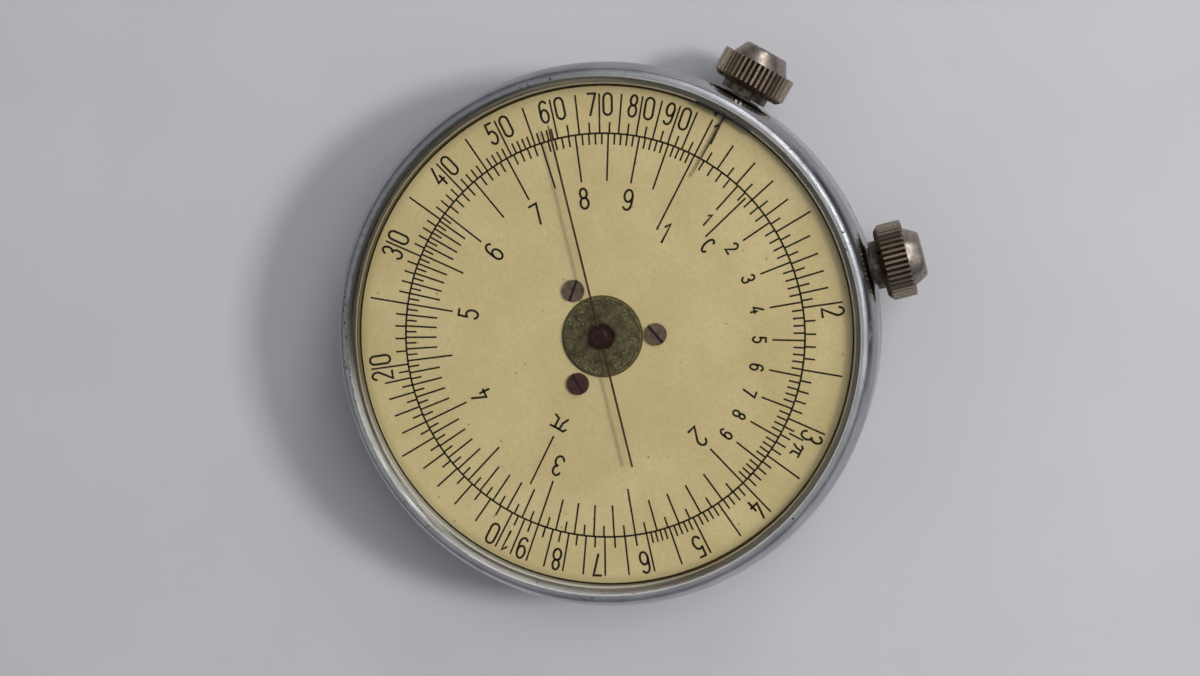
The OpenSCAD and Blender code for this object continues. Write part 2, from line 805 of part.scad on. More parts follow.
module stem_collar(az) {
    on_knob_axis(az) tube(stem_r, stop_d / 2, stop_out - stop_t, stop_out);
}

module dial_knob() {
    color("#8f7f6a") ribbed_knob(dial_az);
}

module dial_knob_cap() {
    color("#b9b2a6") knob_cap(dial_az);
}

module dial_stem() {
    color("lightsteelblue") knob_stem(dial_az, dial_wheel_r);
}

module dial_pinion() {
    color("goldenrod") pinion(dial_az, dial_wheel_r, 180);
}

module dial_stem_collar() {
    color("khaki") stem_collar(dial_az);
}

module hands_knob() {
    color("#8f7f6a") ribbed_knob(hands_az);
}

module hands_knob_cap() {
    color("#b9b2a6") knob_cap(hands_az);
}

module hands_stem() {
    color("lightsteelblue") knob_stem(hands_az, hands_wheel_r);
}

module hands_pinion() {
    color("goldenrod") pinion(hands_az, hands_wheel_r, 0);
}

module hands_stem_collar() {
    color("khaki") stem_collar(hands_az);
}

case_band();
front_bezel();
rear_bezel();
front_crystal();
rear_crystal();
front_crystal_ring();
rear_crystal_ring();
index_pointer();
rear_dial();
main_plate();
plate_screws();
centre_post();
dial_retainer();
dial_spring();
hands_spring();
dial_knob_bush();
hands_knob_bush();
front_dial();
dial_hub();
dial_wheel();
dial_screws();
hands_arbor();
hands_collet();
hands_wheel();
front_hand();
front_hand_hub();
rear_hand();
rear_hand_hub();
dial_knob();
dial_knob_cap();
dial_stem();
dial_pinion();
dial_stem_collar();
hands_knob();
hands_knob_cap();
hands_stem();
hands_pinion();
hands_stem_collar();
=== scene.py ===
import json
import math

import bmesh
import bpy
from mathutils import Matrix, Vector

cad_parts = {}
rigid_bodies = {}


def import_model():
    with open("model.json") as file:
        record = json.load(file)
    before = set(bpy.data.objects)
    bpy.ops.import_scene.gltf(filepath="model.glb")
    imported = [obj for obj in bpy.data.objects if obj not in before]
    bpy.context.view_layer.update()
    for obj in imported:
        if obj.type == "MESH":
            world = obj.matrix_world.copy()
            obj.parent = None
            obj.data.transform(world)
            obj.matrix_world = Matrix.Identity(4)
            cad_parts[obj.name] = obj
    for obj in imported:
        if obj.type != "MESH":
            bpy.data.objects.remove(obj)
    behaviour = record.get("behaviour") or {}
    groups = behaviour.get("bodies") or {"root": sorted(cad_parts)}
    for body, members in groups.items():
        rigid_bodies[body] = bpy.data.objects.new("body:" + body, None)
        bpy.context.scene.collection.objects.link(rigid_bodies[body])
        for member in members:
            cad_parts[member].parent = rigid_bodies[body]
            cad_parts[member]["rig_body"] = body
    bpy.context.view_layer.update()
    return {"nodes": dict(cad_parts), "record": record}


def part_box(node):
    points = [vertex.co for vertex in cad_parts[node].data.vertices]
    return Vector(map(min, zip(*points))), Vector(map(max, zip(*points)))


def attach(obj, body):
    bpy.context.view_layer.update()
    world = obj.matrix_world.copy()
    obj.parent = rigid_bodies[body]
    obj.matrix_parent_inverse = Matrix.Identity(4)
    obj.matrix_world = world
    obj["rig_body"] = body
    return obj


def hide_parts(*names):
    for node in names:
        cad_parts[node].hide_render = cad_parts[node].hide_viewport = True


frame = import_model()
nodes = frame["nodes"]
slots = {part["node"]: part["material_slot"] for part in frame["record"]["subparts"]}


# Case band. The middle of the case is a turned brass ring, polished and chromed, that takes the
# bezels on its two necks and the knob bushes through its side. The solid is right as it is, so
# its skin only gets smooth shading.
MM = 0.001
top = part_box("front_crystal")[1].z / MM
middle = top / 2
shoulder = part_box("front_bezel")[0].z / MM
case_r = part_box("front_bezel")[1].x / MM
crystal_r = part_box("front_crystal")[1].x / MM
knob_turns = {"dial_knob": 113.0, "hands_knob": 67.0}


def srgb(code):
    """Linear colour of an sRGB hex code."""
    parts = [int(code[i:i + 2], 16) / 255 for i in (1, 3, 5)]
    return [c / 12.92 if c <= 0.04045 else ((c + 0.055) / 1.055) ** 2.4 for c in parts] + [1.0]


def add(tree, kind, inputs=(), out=0, **settings):
    """Adds a node, links or sets its inputs, and gives one output, or the node if out is None."""
    made = tree.nodes.new(kind)
    for key, value in settings.items():
        setattr(made, key, value)
    for key, value in dict(inputs).items():
        if isinstance(value, bpy.types.NodeSocket):
            tree.links.new(value, made.inputs[key])
        else:
            made.inputs[key].default_value = value
    return made if out is None else made.outputs[out]


# Where a point lies, in millimetres: its place, its distance from the dial axis, its height, a sum
# that grows outwards and away from the middle plane, and a place drawn out round the axis, for the
# marks of turning and polishing.
turned = bpy.data.node_groups.new("Turned work", "ShaderNodeTree")
for label in ("Place", "Radius", "Height", "Across", "Drawn"):
    kind = "NodeSocketVector" if label in ("Place", "Drawn") else "NodeSocketFloat"
    turned.interface.new_socket(label, in_out="OUTPUT", socket_type=kind)
spot = add(turned, "ShaderNodeTexCoord", out="Object")
spot = add(turned, "ShaderNodeVectorMath", {0: spot, "Scale": 1000.0}, operation="SCALE")
height = add(turned, "ShaderNodeSeparateXYZ", {0: spot}, "Z")
flat = add(turned, "ShaderNodeVectorMath", {0: spot, 1: (1, 1, 0)}, operation="MULTIPLY")
radius = add(turned, "ShaderNodeVectorMath", {0: flat}, "Value", operation="LENGTH")
rise = add(turned, "ShaderNodeMath", {0: height, 1: middle}, operation="SUBTRACT")
rise = add(turned, "ShaderNodeMath", {0: rise}, operation="ABSOLUTE")
across = add(turned, "ShaderNodeMath", {0: radius, 1: rise}, operation="ADD")
slow = add(turned, "ShaderNodeVectorMath", {0: flat, "Scale": 0.06}, operation="SCALE")
drawn = add(turned, "ShaderNodeCombineXYZ", {"Z": across})
drawn = add(turned, "ShaderNodeVectorMath", {0: slow, 1: drawn}, operation="ADD")
add(turned, "NodeGroupOutput", {
    "Place": spot, "Radius": radius, "Height": height, "Across": across, "Drawn": drawn,
}, None)


def surface(name, **values):
    """A new material: its tree, its Principled node and the millimetre coordinates."""
    made = bpy.data.materials.new(name)
    made.use_nodes = True
    tree = made.node_tree
    principled = tree.nodes["Principled BSDF"]
    for key, value in values.items():
        principled.inputs[key.replace("_", " ")].default_value = value
    return made, tree, principled, add(tree, "ShaderNodeGroup", out=None, node_tree=turned).outputs


def dressed(node, look, sharp=30):
    """A smooth-shaded skin in place of a solid's loose triangles."""
    shape = bmesh.new()
    shape.from_mesh(nodes[node].data)
    bmesh.ops.remove_doubles(shape, verts=shape.verts, dist=0.002 * MM)
    mesh = bpy.data.meshes.new(node)
    shape.to_mesh(mesh)
    shape.free()
    if "custom_normal" in mesh.attributes:
        mesh.attributes.remove(mesh.attributes["custom_normal"])
    mesh.shade_smooth()
    mesh.set_sharp_from_angle(angle=math.radians(sharp))
    return placed(node + "_skin", mesh, nodes[node]["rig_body"], slots[node], look, node)


def placed(name, mesh, body, slot, look, *replaced):
    """A piece from a mesh, on its body, with its material and the solids that it stands for."""
    mesh.name = name
    mesh.materials.clear()
    mesh.materials.append(look)
    piece = bpy.data.objects.new(name, mesh)
    bpy.context.scene.collection.objects.link(piece)
    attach(piece, body)
    if replaced:
        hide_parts(*replaced)
    return piece


def around(az, r, z=0.0):
    """The place at az degrees round the dial axis, r away from it and z up."""
    return Vector((r * math.cos(math.radians(az)), r * math.sin(math.radians(az)), z))


def to_side(tree, mm, az, low, high, most=1.0, blend="SMOOTHSTEP"):
    """A mask that rises to one side of the case; low and high are shares of the crystal's radius."""
    share = add(tree, "ShaderNodeVectorMath", {
        0: mm["Place"], 1: around(az, 1 / crystal_r),
    }, "Value", operation="DOT_PRODUCT")
    return add(tree, "ShaderNodeMapRange", {
        0: share, 1: low, 2: high, 4: most,
    }, interpolation_type=blend)


# Chrome plate: a cool mirror with polishing lines round the case, dulled in clouds by handling, and
# most on the crests.
chrome, tree, skin, mm = surface("worn_chrome_plate")
lines = add(tree, "ShaderNodeTexNoise", {
    "Vector": mm["Drawn"], "Scale": 5.0, "Detail": 5.0, "Roughness": 0.7,
})
cloud = add(tree, "ShaderNodeTexNoise", {"Vector": mm["Place"], "Scale": 0.35, "Detail": 4.0})
worn = add(tree, "ShaderNodeMath", {0: lines, 1: cloud}, operation="MULTIPLY")
tone = add(tree, "ShaderNodeMapRange", {0: worn, 1: 0.12, 2: 0.42})
shade = add(tree, "ShaderNodeMix", {
    0: tone, 6: srgb("#9C9CA0"), 7: srgb("#C3C3C7"),
}, 2, data_type="RGBA")
crest = add(tree, "ShaderNodeMapRange", {
    0: mm["Radius"], 1: case_r - 0.6, 2: case_r - 0.9,
}, interpolation_type="SMOOTHSTEP")

# Pin-hole pits have come through the crests in patches, and dirt sits along the crystal's far edge.
patch = add(tree, "ShaderNodeTexNoise", {"Vector": mm["Place"], "Scale": 0.09, "Detail": 3.0})
patch = add(tree, "ShaderNodeMapRange", {0: patch, 1: 0.46, 2: 0.6})
patch = add(tree, "ShaderNodeMath", {0: crest, 1: patch}, operation="MULTIPLY")
speck = add(tree, "ShaderNodeTexNoise", {
    "Vector": mm["Place"], "Scale": 3.2, "Detail": 3.0, "Roughness": 0.6,
})
level = add(tree, "ShaderNodeMath", {0: patch, 1: -0.12, 2: 0.74}, operation="MULTIPLY_ADD")
pit = add(tree, "ShaderNodeMath", {0: speck, 1: level}, operation="SUBTRACT")
pit = add(tree, "ShaderNodeMapRange", {0: pit, 1: 0.0, 2: 0.03})
dirt = to_side(tree, mm, 225, 0.308, 0.923, blend="LINEAR")
for start, stop in ((0.27, 0.07), (0.03, 0.09)):
    edge = add(tree, "ShaderNodeMapRange", {0: mm["Radius"], 1: crystal_r + start, 2: crystal_r + stop})
    dirt = add(tree, "ShaderNodeMath", {0: dirt, 1: edge}, operation="MULTIPLY")
soil = add(tree, "ShaderNodeMapRange", {0: speck, 1: 0.42, 2: 0.6})
dirt = add(tree, "ShaderNodeMath", {0: dirt, 1: soil}, operation="MULTIPLY")
pit = add(tree, "ShaderNodeMath", {0: pit, 1: dirt}, operation="MAXIMUM")

# One side of the case is painted grey, a painted reflection of shade. The bezels' bores are satin,
# painted nearly black on that side as shade and near white on another as light.
shaded_side = to_side(tree, mm, 195, 0.4, 0.9)
grey = add(tree, "ShaderNodeMath", {0: shaded_side, 1: 0.4}, operation="MULTIPLY")
shade = add(tree, "ShaderNodeMix", {0: grey, 6: shade, 7: srgb("#505157")}, 2, data_type="RGBA")
bore_light_and_shade = add(tree, "ShaderNodeMix", {
    0: shaded_side, 6: srgb("#D8D3C6"), 7: srgb("#2E2C28"),
}, 2, data_type="RGBA")
# Painted light: on this side the bore and the tension ring are painted near white.
lit_side_az = 292
lit_side = to_side(tree, mm, lit_side_az, 0.55, 0.9)
bore_light_and_shade = add(tree, "ShaderNodeMix", {0: lit_side, 6: bore_light_and_shade, 7: srgb("#F4F2EC")}, 2, data_type="RGBA")
bore = add(tree, "ShaderNodeMapRange", {0: mm["Radius"], 1: crystal_r + 0.15, 2: crystal_r + 0.05})
shade = add(tree, "ShaderNodeMix", {0: bore, 6: shade, 7: bore_light_and_shade}, 2, data_type="RGBA")
satin = add(tree, "ShaderNodeMath", {0: bore, 1: -0.9, 2: 1.0}, operation="MULTIPLY_ADD")
tree.links.new(satin, skin.inputs["Metallic"])

# Painted dark reflections: clouds on the bezel beside the knobs, and a darker outer flank.
# The dark patch at each knob isn't wear: it is painted in for the knob's mirror image.
painted_dark_reflection = add(tree, "ShaderNodeMapRange", {0: cloud, 1: 0.3, 2: 0.45, 4: 0.95})
inner = add(tree, "ShaderNodeMapRange", {0: mm["Radius"], 1: case_r - 0.88, 2: case_r - 0.74})
outer = add(tree, "ShaderNodeMapRange", {0: mm["Radius"], 1: case_r - 0.3, 2: case_r - 0.6})
for factor in (to_side(tree, mm, 70, 0.851, 0.989, blend="LINEAR"), inner, outer):
    painted_dark_reflection = add(tree, "ShaderNodeMath", {0: painted_dark_reflection, 1: factor}, operation="MULTIPLY")
shade = add(tree, "ShaderNodeMix", {0: painted_dark_reflection, 6: shade, 7: srgb("#3C3A3D")}, 2, data_type="RGBA")
# Painted dark reflection: the outer flank darkens outwards.
flank_dark_reflection = add(tree, "ShaderNodeMapRange", {0: mm["Radius"], 1: case_r - 0.4, 2: case_r - 0.05, 4: 0.55})
shade = add(tree, "ShaderNodeMix", {0: flank_dark_reflection, 6: shade, 7: srgb("#67676B")}, 2, data_type="RGBA")
rise = add(tree, "ShaderNodeMath", {0: mm["Across"], 1: mm["Radius"]}, operation="SUBTRACT")
on_bezel = add(tree, "ShaderNodeMath", {0: rise, 1: shoulder - middle}, operation="GREATER_THAN")
for az in knob_turns.values():
    away = add(tree, "ShaderNodeVectorMath", {
        0: mm["Place"], 1: around(az, case_r + 0.6, middle),
    }, "Value", operation="DISTANCE")
    under = add(tree, "ShaderNodeMapRange", {
        0: away, 1: 5.9, 2: 5.4, 4: 0.96,
    }, interpolation_type="SMOOTHSTEP")
    under = add(tree, "ShaderNodeMath", {0: under, 1: on_bezel}, operation="MULTIPLY")
    shade = add(tree, "ShaderNodeMix", {0: under, 6: shade, 7: srgb("#1D1B1B")}, 2, data_type="RGBA")

# A dark line of dirt marks the seam of bezel and band. Pits and dirt are rough, and lines, specks and
# pits all stand out a little.
seam = add(tree, "ShaderNodeMath", {0: rise, 1: shoulder - middle}, operation="SUBTRACT")
seam = add(tree, "ShaderNodeMath", {0: seam}, operation="ABSOLUTE")
seam = add(tree, "ShaderNodeMapRange", {0: seam, 1: 0.05, 2: 0.16, 3: 0.85, 4: 0.0})
shade = add(tree, "ShaderNodeMix", {0: seam, 6: shade, 7: srgb("#2A2724")}, 2, data_type="RGBA")
shade = add(tree, "ShaderNodeMix", {0: pit, 6: shade, 7: srgb("#3E3A34")}, 2, data_type="RGBA")
tree.links.new(shade, skin.inputs["Base Color"])
dull = add(tree, "ShaderNodeMapRange", {0: worn, 1: 0.1, 2: 0.4, 3: 0.2, 4: 0.1})
dull = add(tree, "ShaderNodeMath", {0: crest, 1: 0.26, 2: dull}, operation="MULTIPLY_ADD")
dull = add(tree, "ShaderNodeMix", {0: pit, 2: dull, 3: 0.6})
tree.links.new(dull, skin.inputs["Roughness"])
rough = add(tree, "ShaderNodeMath", {0: speck, 1: crest}, operation="MULTIPLY")
rough = add(tree, "ShaderNodeMath", {0: lines, 1: 0.4, 2: rough}, operation="MULTIPLY_ADD")
rough = add(tree, "ShaderNodeMath", {0: pit, 1: -0.4, 2: rough}, operation="MULTIPLY_ADD")
bump = add(tree, "ShaderNodeBump", {"Height": rough, "Strength": 0.4, "Distance": 0.05 * MM})
tree.links.new(bump, skin.inputs["Normal"])
dressed("case_band", chrome)


# Bezels. Each is a chromed ring snapped on the band's neck: a large round on the side that runs into
# a tight round at the crest, and a bore that grips the crystal. They are turned here with the inner
# edge broken, which the light needs and the solid leaves out.
def lathe(profile, steps=256, sharp=32):
    """A mesh turned from a closed loop of (radius, height) in millimetres."""
    shape = bmesh.new()
    rings = []
    for i in range(steps):
        turn = 2 * math.pi * i / steps
        rings.append([
            shape.verts.new((r * MM * math.cos(turn), r * MM * math.sin(turn), z * MM))
            for r, z in profile
        ])
    for i, ring in enumerate(rings):
        ahead = rings[(i + 1) % steps]
        for j in range(len(profile)):
            k = (j + 1) % len(profile)
            shape.faces.new((ring[j], ahead[j], ahead[k], ring[k]))
    bmesh.ops.remove_doubles(shape, verts=shape.verts, dist=0.0005 * MM)
    bmesh.ops.recalc_face_normals(shape, faces=shape.faces)
    mesh = bpy.data.meshes.new("lathe")
    shape.to_mesh(mesh)
    shape.free()
    mesh.shade_smooth()
    mesh.set_sharp_from_angle(angle=math.radians(sharp))
    return mesh


def arc(cx, cy, rx, ry, start, stop, steps=10):
    """Points on an arc, in degrees, both ends included."""
    turns = [math.radians(start + (stop - start) * i / steps) for i in range(steps + 1)]
    return [(cx + rx * math.cos(t), cy + ry * math.sin(t)) for t in turns]


crest_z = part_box("front_bezel")[1].z / MM
dial_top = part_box("front_dial")[1].z / MM
side_round, crest_round, chamfer, bore_edge = 5.5, 0.7, 0.12, 0.15
seat = shoulder + chamfer
lean = math.degrees(math.asin((crest_z - crest_round - seat) / (side_round - crest_round)))
crest_x = case_r - side_round + (side_round - crest_round) * math.cos(math.radians(lean))
bezel = [(case_r - 0.6, shoulder), (case_r - chamfer, shoulder)]
bezel += arc(case_r - side_round, seat, side_round, side_round, 0, lean, 14)
bezel += arc(crest_x, crest_z - crest_round, crest_round, crest_round, lean, 90, 14)[1:]
bezel += arc(crystal_r + bore_edge, crest_z - bore_edge, bore_edge, bore_edge, 90, 180, 6)
bezel += [(crystal_r, dial_top), (case_r - 0.6, dial_top)]
placed("front_bezel_skin", lathe(bezel), "case", "chromed_brass", chrome, "front_bezel")
bezel = [(r, top - z) for r, z in bezel]
placed("rear_bezel_skin", lathe(bezel), "case", "chromed_brass", chrome, "rear_bezel")


# Crystals. Each is a moulded clear cup, pressed into its bezel by the skirt and standing a little
# above the crest, with a rounded edge that catches the light and a sawn, frosted foot. One place on
# the edge is painted white and more opaque, in streaks: a painted glint.
clear, tree, skin, mm = surface("clear_acrylic", Alpha=0.03, Roughness=0.08, IOR=1.49)
haze = add(tree, "ShaderNodeTexNoise", {"Vector": mm["Place"], "Scale": 0.5, "Detail": 3.0})
tint = add(tree, "ShaderNodeMix", {
    0: haze, 6: srgb("#2E2C26"), 7: srgb("#55534A"),
}, 2, data_type="RGBA")
tree.links.new(tint, skin.inputs["Base Color"])
rim_clear, tree, skin, mm = surface("acrylic_edge", Roughness=0.1, IOR=1.49)
scuff = add(tree, "ShaderNodeTexNoise", {"Vector": mm["Drawn"], "Scale": 3.0, "Detail": 4.0})
tint = add(tree, "ShaderNodeMix", {
    0: scuff, 6: srgb("#45433D"), 7: srgb("#9A988F"),
}, 2, data_type="RGBA")
# Painted glint: one side of the edge is white and more opaque in streaks.
painted_glint = to_side(tree, mm, 273, 0.93, 0.985)
streak = add(tree, "ShaderNodeMapRange", {0: scuff, 1: 0.35, 2: 0.6})
painted_glint = add(tree, "ShaderNodeMath", {0: painted_glint, 1: streak}, operation="MULTIPLY")
tint = add(tree, "ShaderNodeMix", {0: painted_glint, 6: tint, 7: srgb("#F6F5F1")}, 2, data_type="RGBA")
tree.links.new(tint, skin.inputs["Base Color"])
cover = add(tree, "ShaderNodeMapRange", {0: painted_glint, 3: 0.17, 4: 0.75})
tree.links.new(cover, skin.inputs["Alpha"])
foot_clear, tree, skin, mm = surface("frosted_acrylic_foot", Alpha=0.85, Roughness=0.5, IOR=1.49)
frost = add(tree, "ShaderNodeTexNoise", {"Vector": mm["Drawn"], "Scale": 4.0, "Detail": 4.0})
tint = add(tree, "ShaderNodeMix", {
    0: frost, 6: srgb("#6E6654"), 7: srgb("#9C937C"),
}, 2, data_type="RGBA")
tree.links.new(tint, skin.inputs["Base Color"])
edge_round, skirt_wall, face_thick = 0.5, 0.4, 0.9
under = top - face_thick
skirt = crystal_r - skirt_wall
cup = [(0, top), (10, top), (20, top), (crystal_r - 0.8, top), (crystal_r - 0.55, top)]
cup += arc(crystal_r - edge_round, top - edge_round, edge_round, edge_round, 90, 0, 8)
cup += [(crystal_r, dial_top), (skirt, dial_top), (skirt, under)]
cup += [(skirt - 0.2, under), (20, under), (10, under), (0, under)]
for node, profile in (("front_crystal", cup), ("rear_crystal", [(r, top - z) for r, z in cup])):
    crystal = placed(node + "_skin", lathe(profile), "case", "crystal", clear, node)
    crystal.data.materials.append(rim_clear)
    crystal.data.materials.append(foot_clear)
    for face in crystal.data.polygons:
        at_edge = math.hypot(*face.center.xy) > (crystal_r - edge_round) * MM
        at_foot = at_edge and abs(face.center.z / MM - middle) < dial_top - middle + 0.01
        face.material_index = 2 if at_foot else int(at_edge)


# Tension rings. A thin nickel-plated ring inside each crystal's skirt spreads it against the bezel.
# Its top and inner wall show round the dial. The plate has yellowed to a light brown, with one
# stretch painted pale as light, and dust has made a dark line of each of its edges.
nickel, tree, skin, mm = surface("yellowed_nickel_plate", Metallic=0.35)
patch = add(tree, "ShaderNodeTexNoise", {"Vector": mm["Place"], "Scale": 0.9, "Detail": 4.0})
drift = add(tree, "ShaderNodeMath", {0: patch, 1: 0.12, 2: mm["Across"]}, operation="MULTIPLY_ADD")
ring_r = skirt - 0.2
ring_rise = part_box("front_crystal_ring")[1].z / MM - middle
corner = ring_r + ring_rise + 0.06
part = add(tree, "ShaderNodeMapRange", {0: drift, 1: corner - 1.0, 2: corner + 0.2})
band = add(tree, "ShaderNodeValToRGB", {0: part}, None)
stops = band.color_ramp.elements
stops[0].color = srgb("#7A6A4C")
stops[1].color = srgb("#2A2118")
for where, code in (
    (0.6, "#93815E"), (0.68, "#1E170F"), (0.81, "#1E170F"), (0.86, "#A8987A"), (0.93, "#9C8C6E"),
):
    stops.new(where).color = srgb(code)
# Painted light: one stretch of the ring is painted pale.
lit_side = to_side(tree, mm, lit_side_az, 0.55, 0.9, 0.8)
shade = add(tree, "ShaderNodeMix", {
    0: lit_side, 6: band.outputs[0], 7: srgb("#C6C2B4"),
}, 2, data_type="RGBA")
tree.links.new(shade, skin.inputs["Base Color"])
dull = add(tree, "ShaderNodeMapRange", {0: patch, 1: 0.3, 2: 0.7, 3: 0.5, 4: 0.28})
tree.links.new(dull, skin.inputs["Roughness"])
bump = add(tree, "ShaderNodeBump", {"Height": patch, "Strength": 0.15, "Distance": 0.03 * MM})
tree.links.new(bump, skin.inputs["Normal"])
dressed("front_crystal_ring", nickel)
dressed("rear_crystal_ring", nickel)


# Movement. The main plate, post, hub, wheels and pinions are turned and cut brass, the arbor, stems
# and screws plain steel: warm yellow and dull grey once the dials are off. The solids are right as
# they are.
brass, tree, skin, mm = surface("turned_brass", Metallic=1.0)
lines = add(tree, "ShaderNodeTexNoise", {"Vector": mm["Drawn"], "Scale": 7.0, "Detail": 4.0})
patch = add(tree, "ShaderNodeTexNoise", {"Vector": mm["Place"], "Scale": 0.6, "Detail": 3.0})
tone = add(tree, "ShaderNodeMath", {0: lines, 1: patch}, operation="MULTIPLY")
tone = add(tree, "ShaderNodeMapRange", {0: tone, 1: 0.1, 2: 0.42})
shade = add(tree, "ShaderNodeMix", {
    0: tone, 6: srgb("#8A6A34"), 7: srgb("#D8B66A"),
}, 2, data_type="RGBA")
tree.links.new(shade, skin.inputs["Base Color"])
dull = add(tree, "ShaderNodeMapRange", {0: tone, 3: 0.45, 4: 0.25})
tree.links.new(dull, skin.inputs["Roughness"])
steel, tree, skin, mm = surface("drawn_steel", Metallic=1.0)
grain = add(tree, "ShaderNodeTexNoise", {"Vector": mm["Place"], "Scale": 4.0, "Detail": 5.0})
shade = add(tree, "ShaderNodeMix", {
    0: grain, 6: srgb("#5E5C5A"), 7: srgb("#A6A4A2"),
}, 2, data_type="RGBA")
tree.links.new(shade, skin.inputs["Base Color"])
dull = add(tree, "ShaderNodeMapRange", {0: grain, 3: 0.5, 4: 0.28})
tree.links.new(dull, skin.inputs["Roughness"])
for node, slot in slots.items():
    if node.endswith("_bush"):
        dressed(node, steel)
    elif slot == "brass" and node != "dial_hub":
        dressed(node, brass)
    elif slot == "steel" and node != "dial_screws":
        dressed(node, steel)


# Dials. Two brass discs sprayed with cream enamel that has gone khaki: the front one turns and has
# a V notch at its index, the rear one is fixed. Specks and faint stains are from age, and painted
# shade darkens the enamel towards its edge.
enamel, tree, skin, mm = surface("aged_cream_enamel", Roughness=0.55)
blotch = add(tree, "ShaderNodeTexNoise", {
    "Vector": mm["Place"], "Scale": 0.14, "Detail": 5.0, "Roughness": 0.6,
})
tone = add(tree, "ShaderNodeMapRange", {0: blotch, 1: 0.3, 2: 0.7})
shade = add(tree, "ShaderNodeMix", {
    0: tone, 6: srgb("#AD9B6B"), 7: srgb("#BAA97B"),
}, 2, data_type="RGBA")
grain = add(tree, "ShaderNodeTexNoise", {
    "Vector": mm["Place"], "Scale": 4.0, "Detail": 3.0, "Roughness": 0.7,
})
shade = add(tree, "ShaderNodeMix", {
    0: 0.2, 6: shade, 7: grain,
}, 2, data_type="RGBA", blend_type="OVERLAY")
tide = add(tree, "ShaderNodeTexNoise", {"Vector": mm["Place"], "Scale": 0.17, "Detail": 1.0})
tide = add(tree, "ShaderNodeMath", {0: tide, 1: 0.58}, operation="SUBTRACT")
tide = add(tree, "ShaderNodeMath", {0: tide}, operation="ABSOLUTE")
tide = add(tree, "ShaderNodeMapRange", {0: tide, 1: 0.0, 2: 0.009, 3: 0.2, 4: 0.0})
soaked = add(tree, "ShaderNodeMapRange", {0: blotch, 1: 0.53, 2: 0.62})
tide = add(tree, "ShaderNodeMath", {0: tide, 1: soaked}, operation="MULTIPLY")
shade = add(tree, "ShaderNodeMix", {0: tide, 6: shade, 7: srgb("#7F6D42")}, 2, data_type="RGBA")
spots = add(tree, "ShaderNodeTexVoronoi", {
    "Vector": mm["Place"], "Scale": 0.25,
}, "Distance", voronoi_dimensions="2D")
size = add(tree, "ShaderNodeMapRange", {0: blotch, 1: 0.42, 2: 0.62, 4: 0.04})
spots = add(tree, "ShaderNodeMath", {0: size, 1: spots}, operation="SUBTRACT")
spots = add(tree, "ShaderNodeMapRange", {0: spots, 1: 0.0, 2: 0.012, 4: 0.6})
shade = add(tree, "ShaderNodeMix", {0: spots, 6: shade, 7: srgb("#6A5A38")}, 2, data_type="RGBA")
# Painted shade: the enamel darkens towards its edge under the bezel.
edge_shade = add(tree, "ShaderNodeMapRange", {
    0: mm["Radius"], 1: ring_r - 1.15, 2: ring_r - 0.25, 4: 0.5,
}, interpolation_type="SMOOTHSTEP")
shade = add(tree, "ShaderNodeMix", {0: edge_shade, 6: shade, 7: srgb("#8E8159")}, 2, data_type="RGBA")
tree.links.new(shade, skin.inputs["Base Color"])
bump = add(tree, "ShaderNodeBump", {"Height": grain, "Strength": 0.12, "Distance": 0.03 * MM})
tree.links.new(bump, skin.inputs["Normal"])
dressed("front_dial", enamel)
dressed("rear_dial", enamel)


# Dial printing. The scales were engraved and filled with black paint. Every tick stands where the
# logarithm of its value puts it, so one small tree of nodes, told the first value, the step and the
# count, draws each run of ticks as thin raised bars of paint.
ink, tree, skin, mm = surface("black_dial_paint", Roughness=0.6, Specular_IOR_Level=0.15)
wear = add(tree, "ShaderNodeTexNoise", {"Vector": mm["Place"], "Scale": 3.0, "Detail": 3.0})
tone = add(tree, "ShaderNodeMapRange", {0: wear, 1: 0.4, 2: 0.8})
shade = add(tree, "ShaderNodeMix", {
    0: tone, 6: srgb("#130E08"), 7: srgb("#33291A"),
}, 2, data_type="RGBA")
tree.links.new(shade, skin.inputs["Base Color"])
scale = bpy.data.node_groups.new("Scale ticks", "GeometryNodeTree")
turns = ("Turn", "Zero")
lengths = ("Base", "Short", "Medium", "Long", "Width", "Floor", "Height")
for label in ("First", "Step") + turns + lengths:
    scale.interface.new_socket(label, in_out="INPUT", socket_type="NodeSocketFloat")
for label in ("Count", "Medium every", "Long every", "Measure"):
    scale.interface.new_socket(label, in_out="INPUT", socket_type="NodeSocketInt")
scale.interface.new_socket("Paint", in_out="INPUT", socket_type="NodeSocketMaterial")
scale.interface.new_socket("Ticks", in_out="OUTPUT", socket_type="NodeSocketGeometry")
given = add(scale, "NodeGroupInput", out=None).outputs
index = add(scale, "GeometryNodeInputIndex")
value = add(scale, "ShaderNodeMath", {
    0: index, 1: given["Step"], 2: given["First"],
}, operation="MULTIPLY_ADD")
angle = add(scale, "ShaderNodeMath", {0: value}, operation="RADIANS")
sine = add(scale, "ShaderNodeMath", {0: angle}, operation="SINE")
tangent = add(scale, "ShaderNodeMath", {0: angle}, operation="TANGENT")
choice = add(scale, "GeometryNodeIndexSwitch", out=None, data_type="FLOAT")
choice.index_switch_items.new()
for key, source in (("Index", given["Measure"]), ("0", value), ("1", sine), ("2", tangent)):
    scale.links.new(source, choice.inputs[key])
power = add(scale, "ShaderNodeMath", {0: choice.outputs[0], 1: 10.0}, operation="LOGARITHM")
turn = add(scale, "ShaderNodeMath", {
    0: power, 1: given["Turn"], 2: given["Zero"],
}, operation="MULTIPLY_ADD")
reach = given["Short"]
for grade in ("Medium", "Long"):
    left = add(scale, "ShaderNodeMath", {
        0: index, 1: given[grade + " every"],
    }, operation="FLOORED_MODULO")
    whole = add(scale, "ShaderNodeMath", {0: left, 1: 0.5}, operation="LESS_THAN")
    reach = add(scale, "GeometryNodeSwitch", {
        "Switch": whole, "False": reach, "True": given[grade],
    }, input_type="FLOAT")
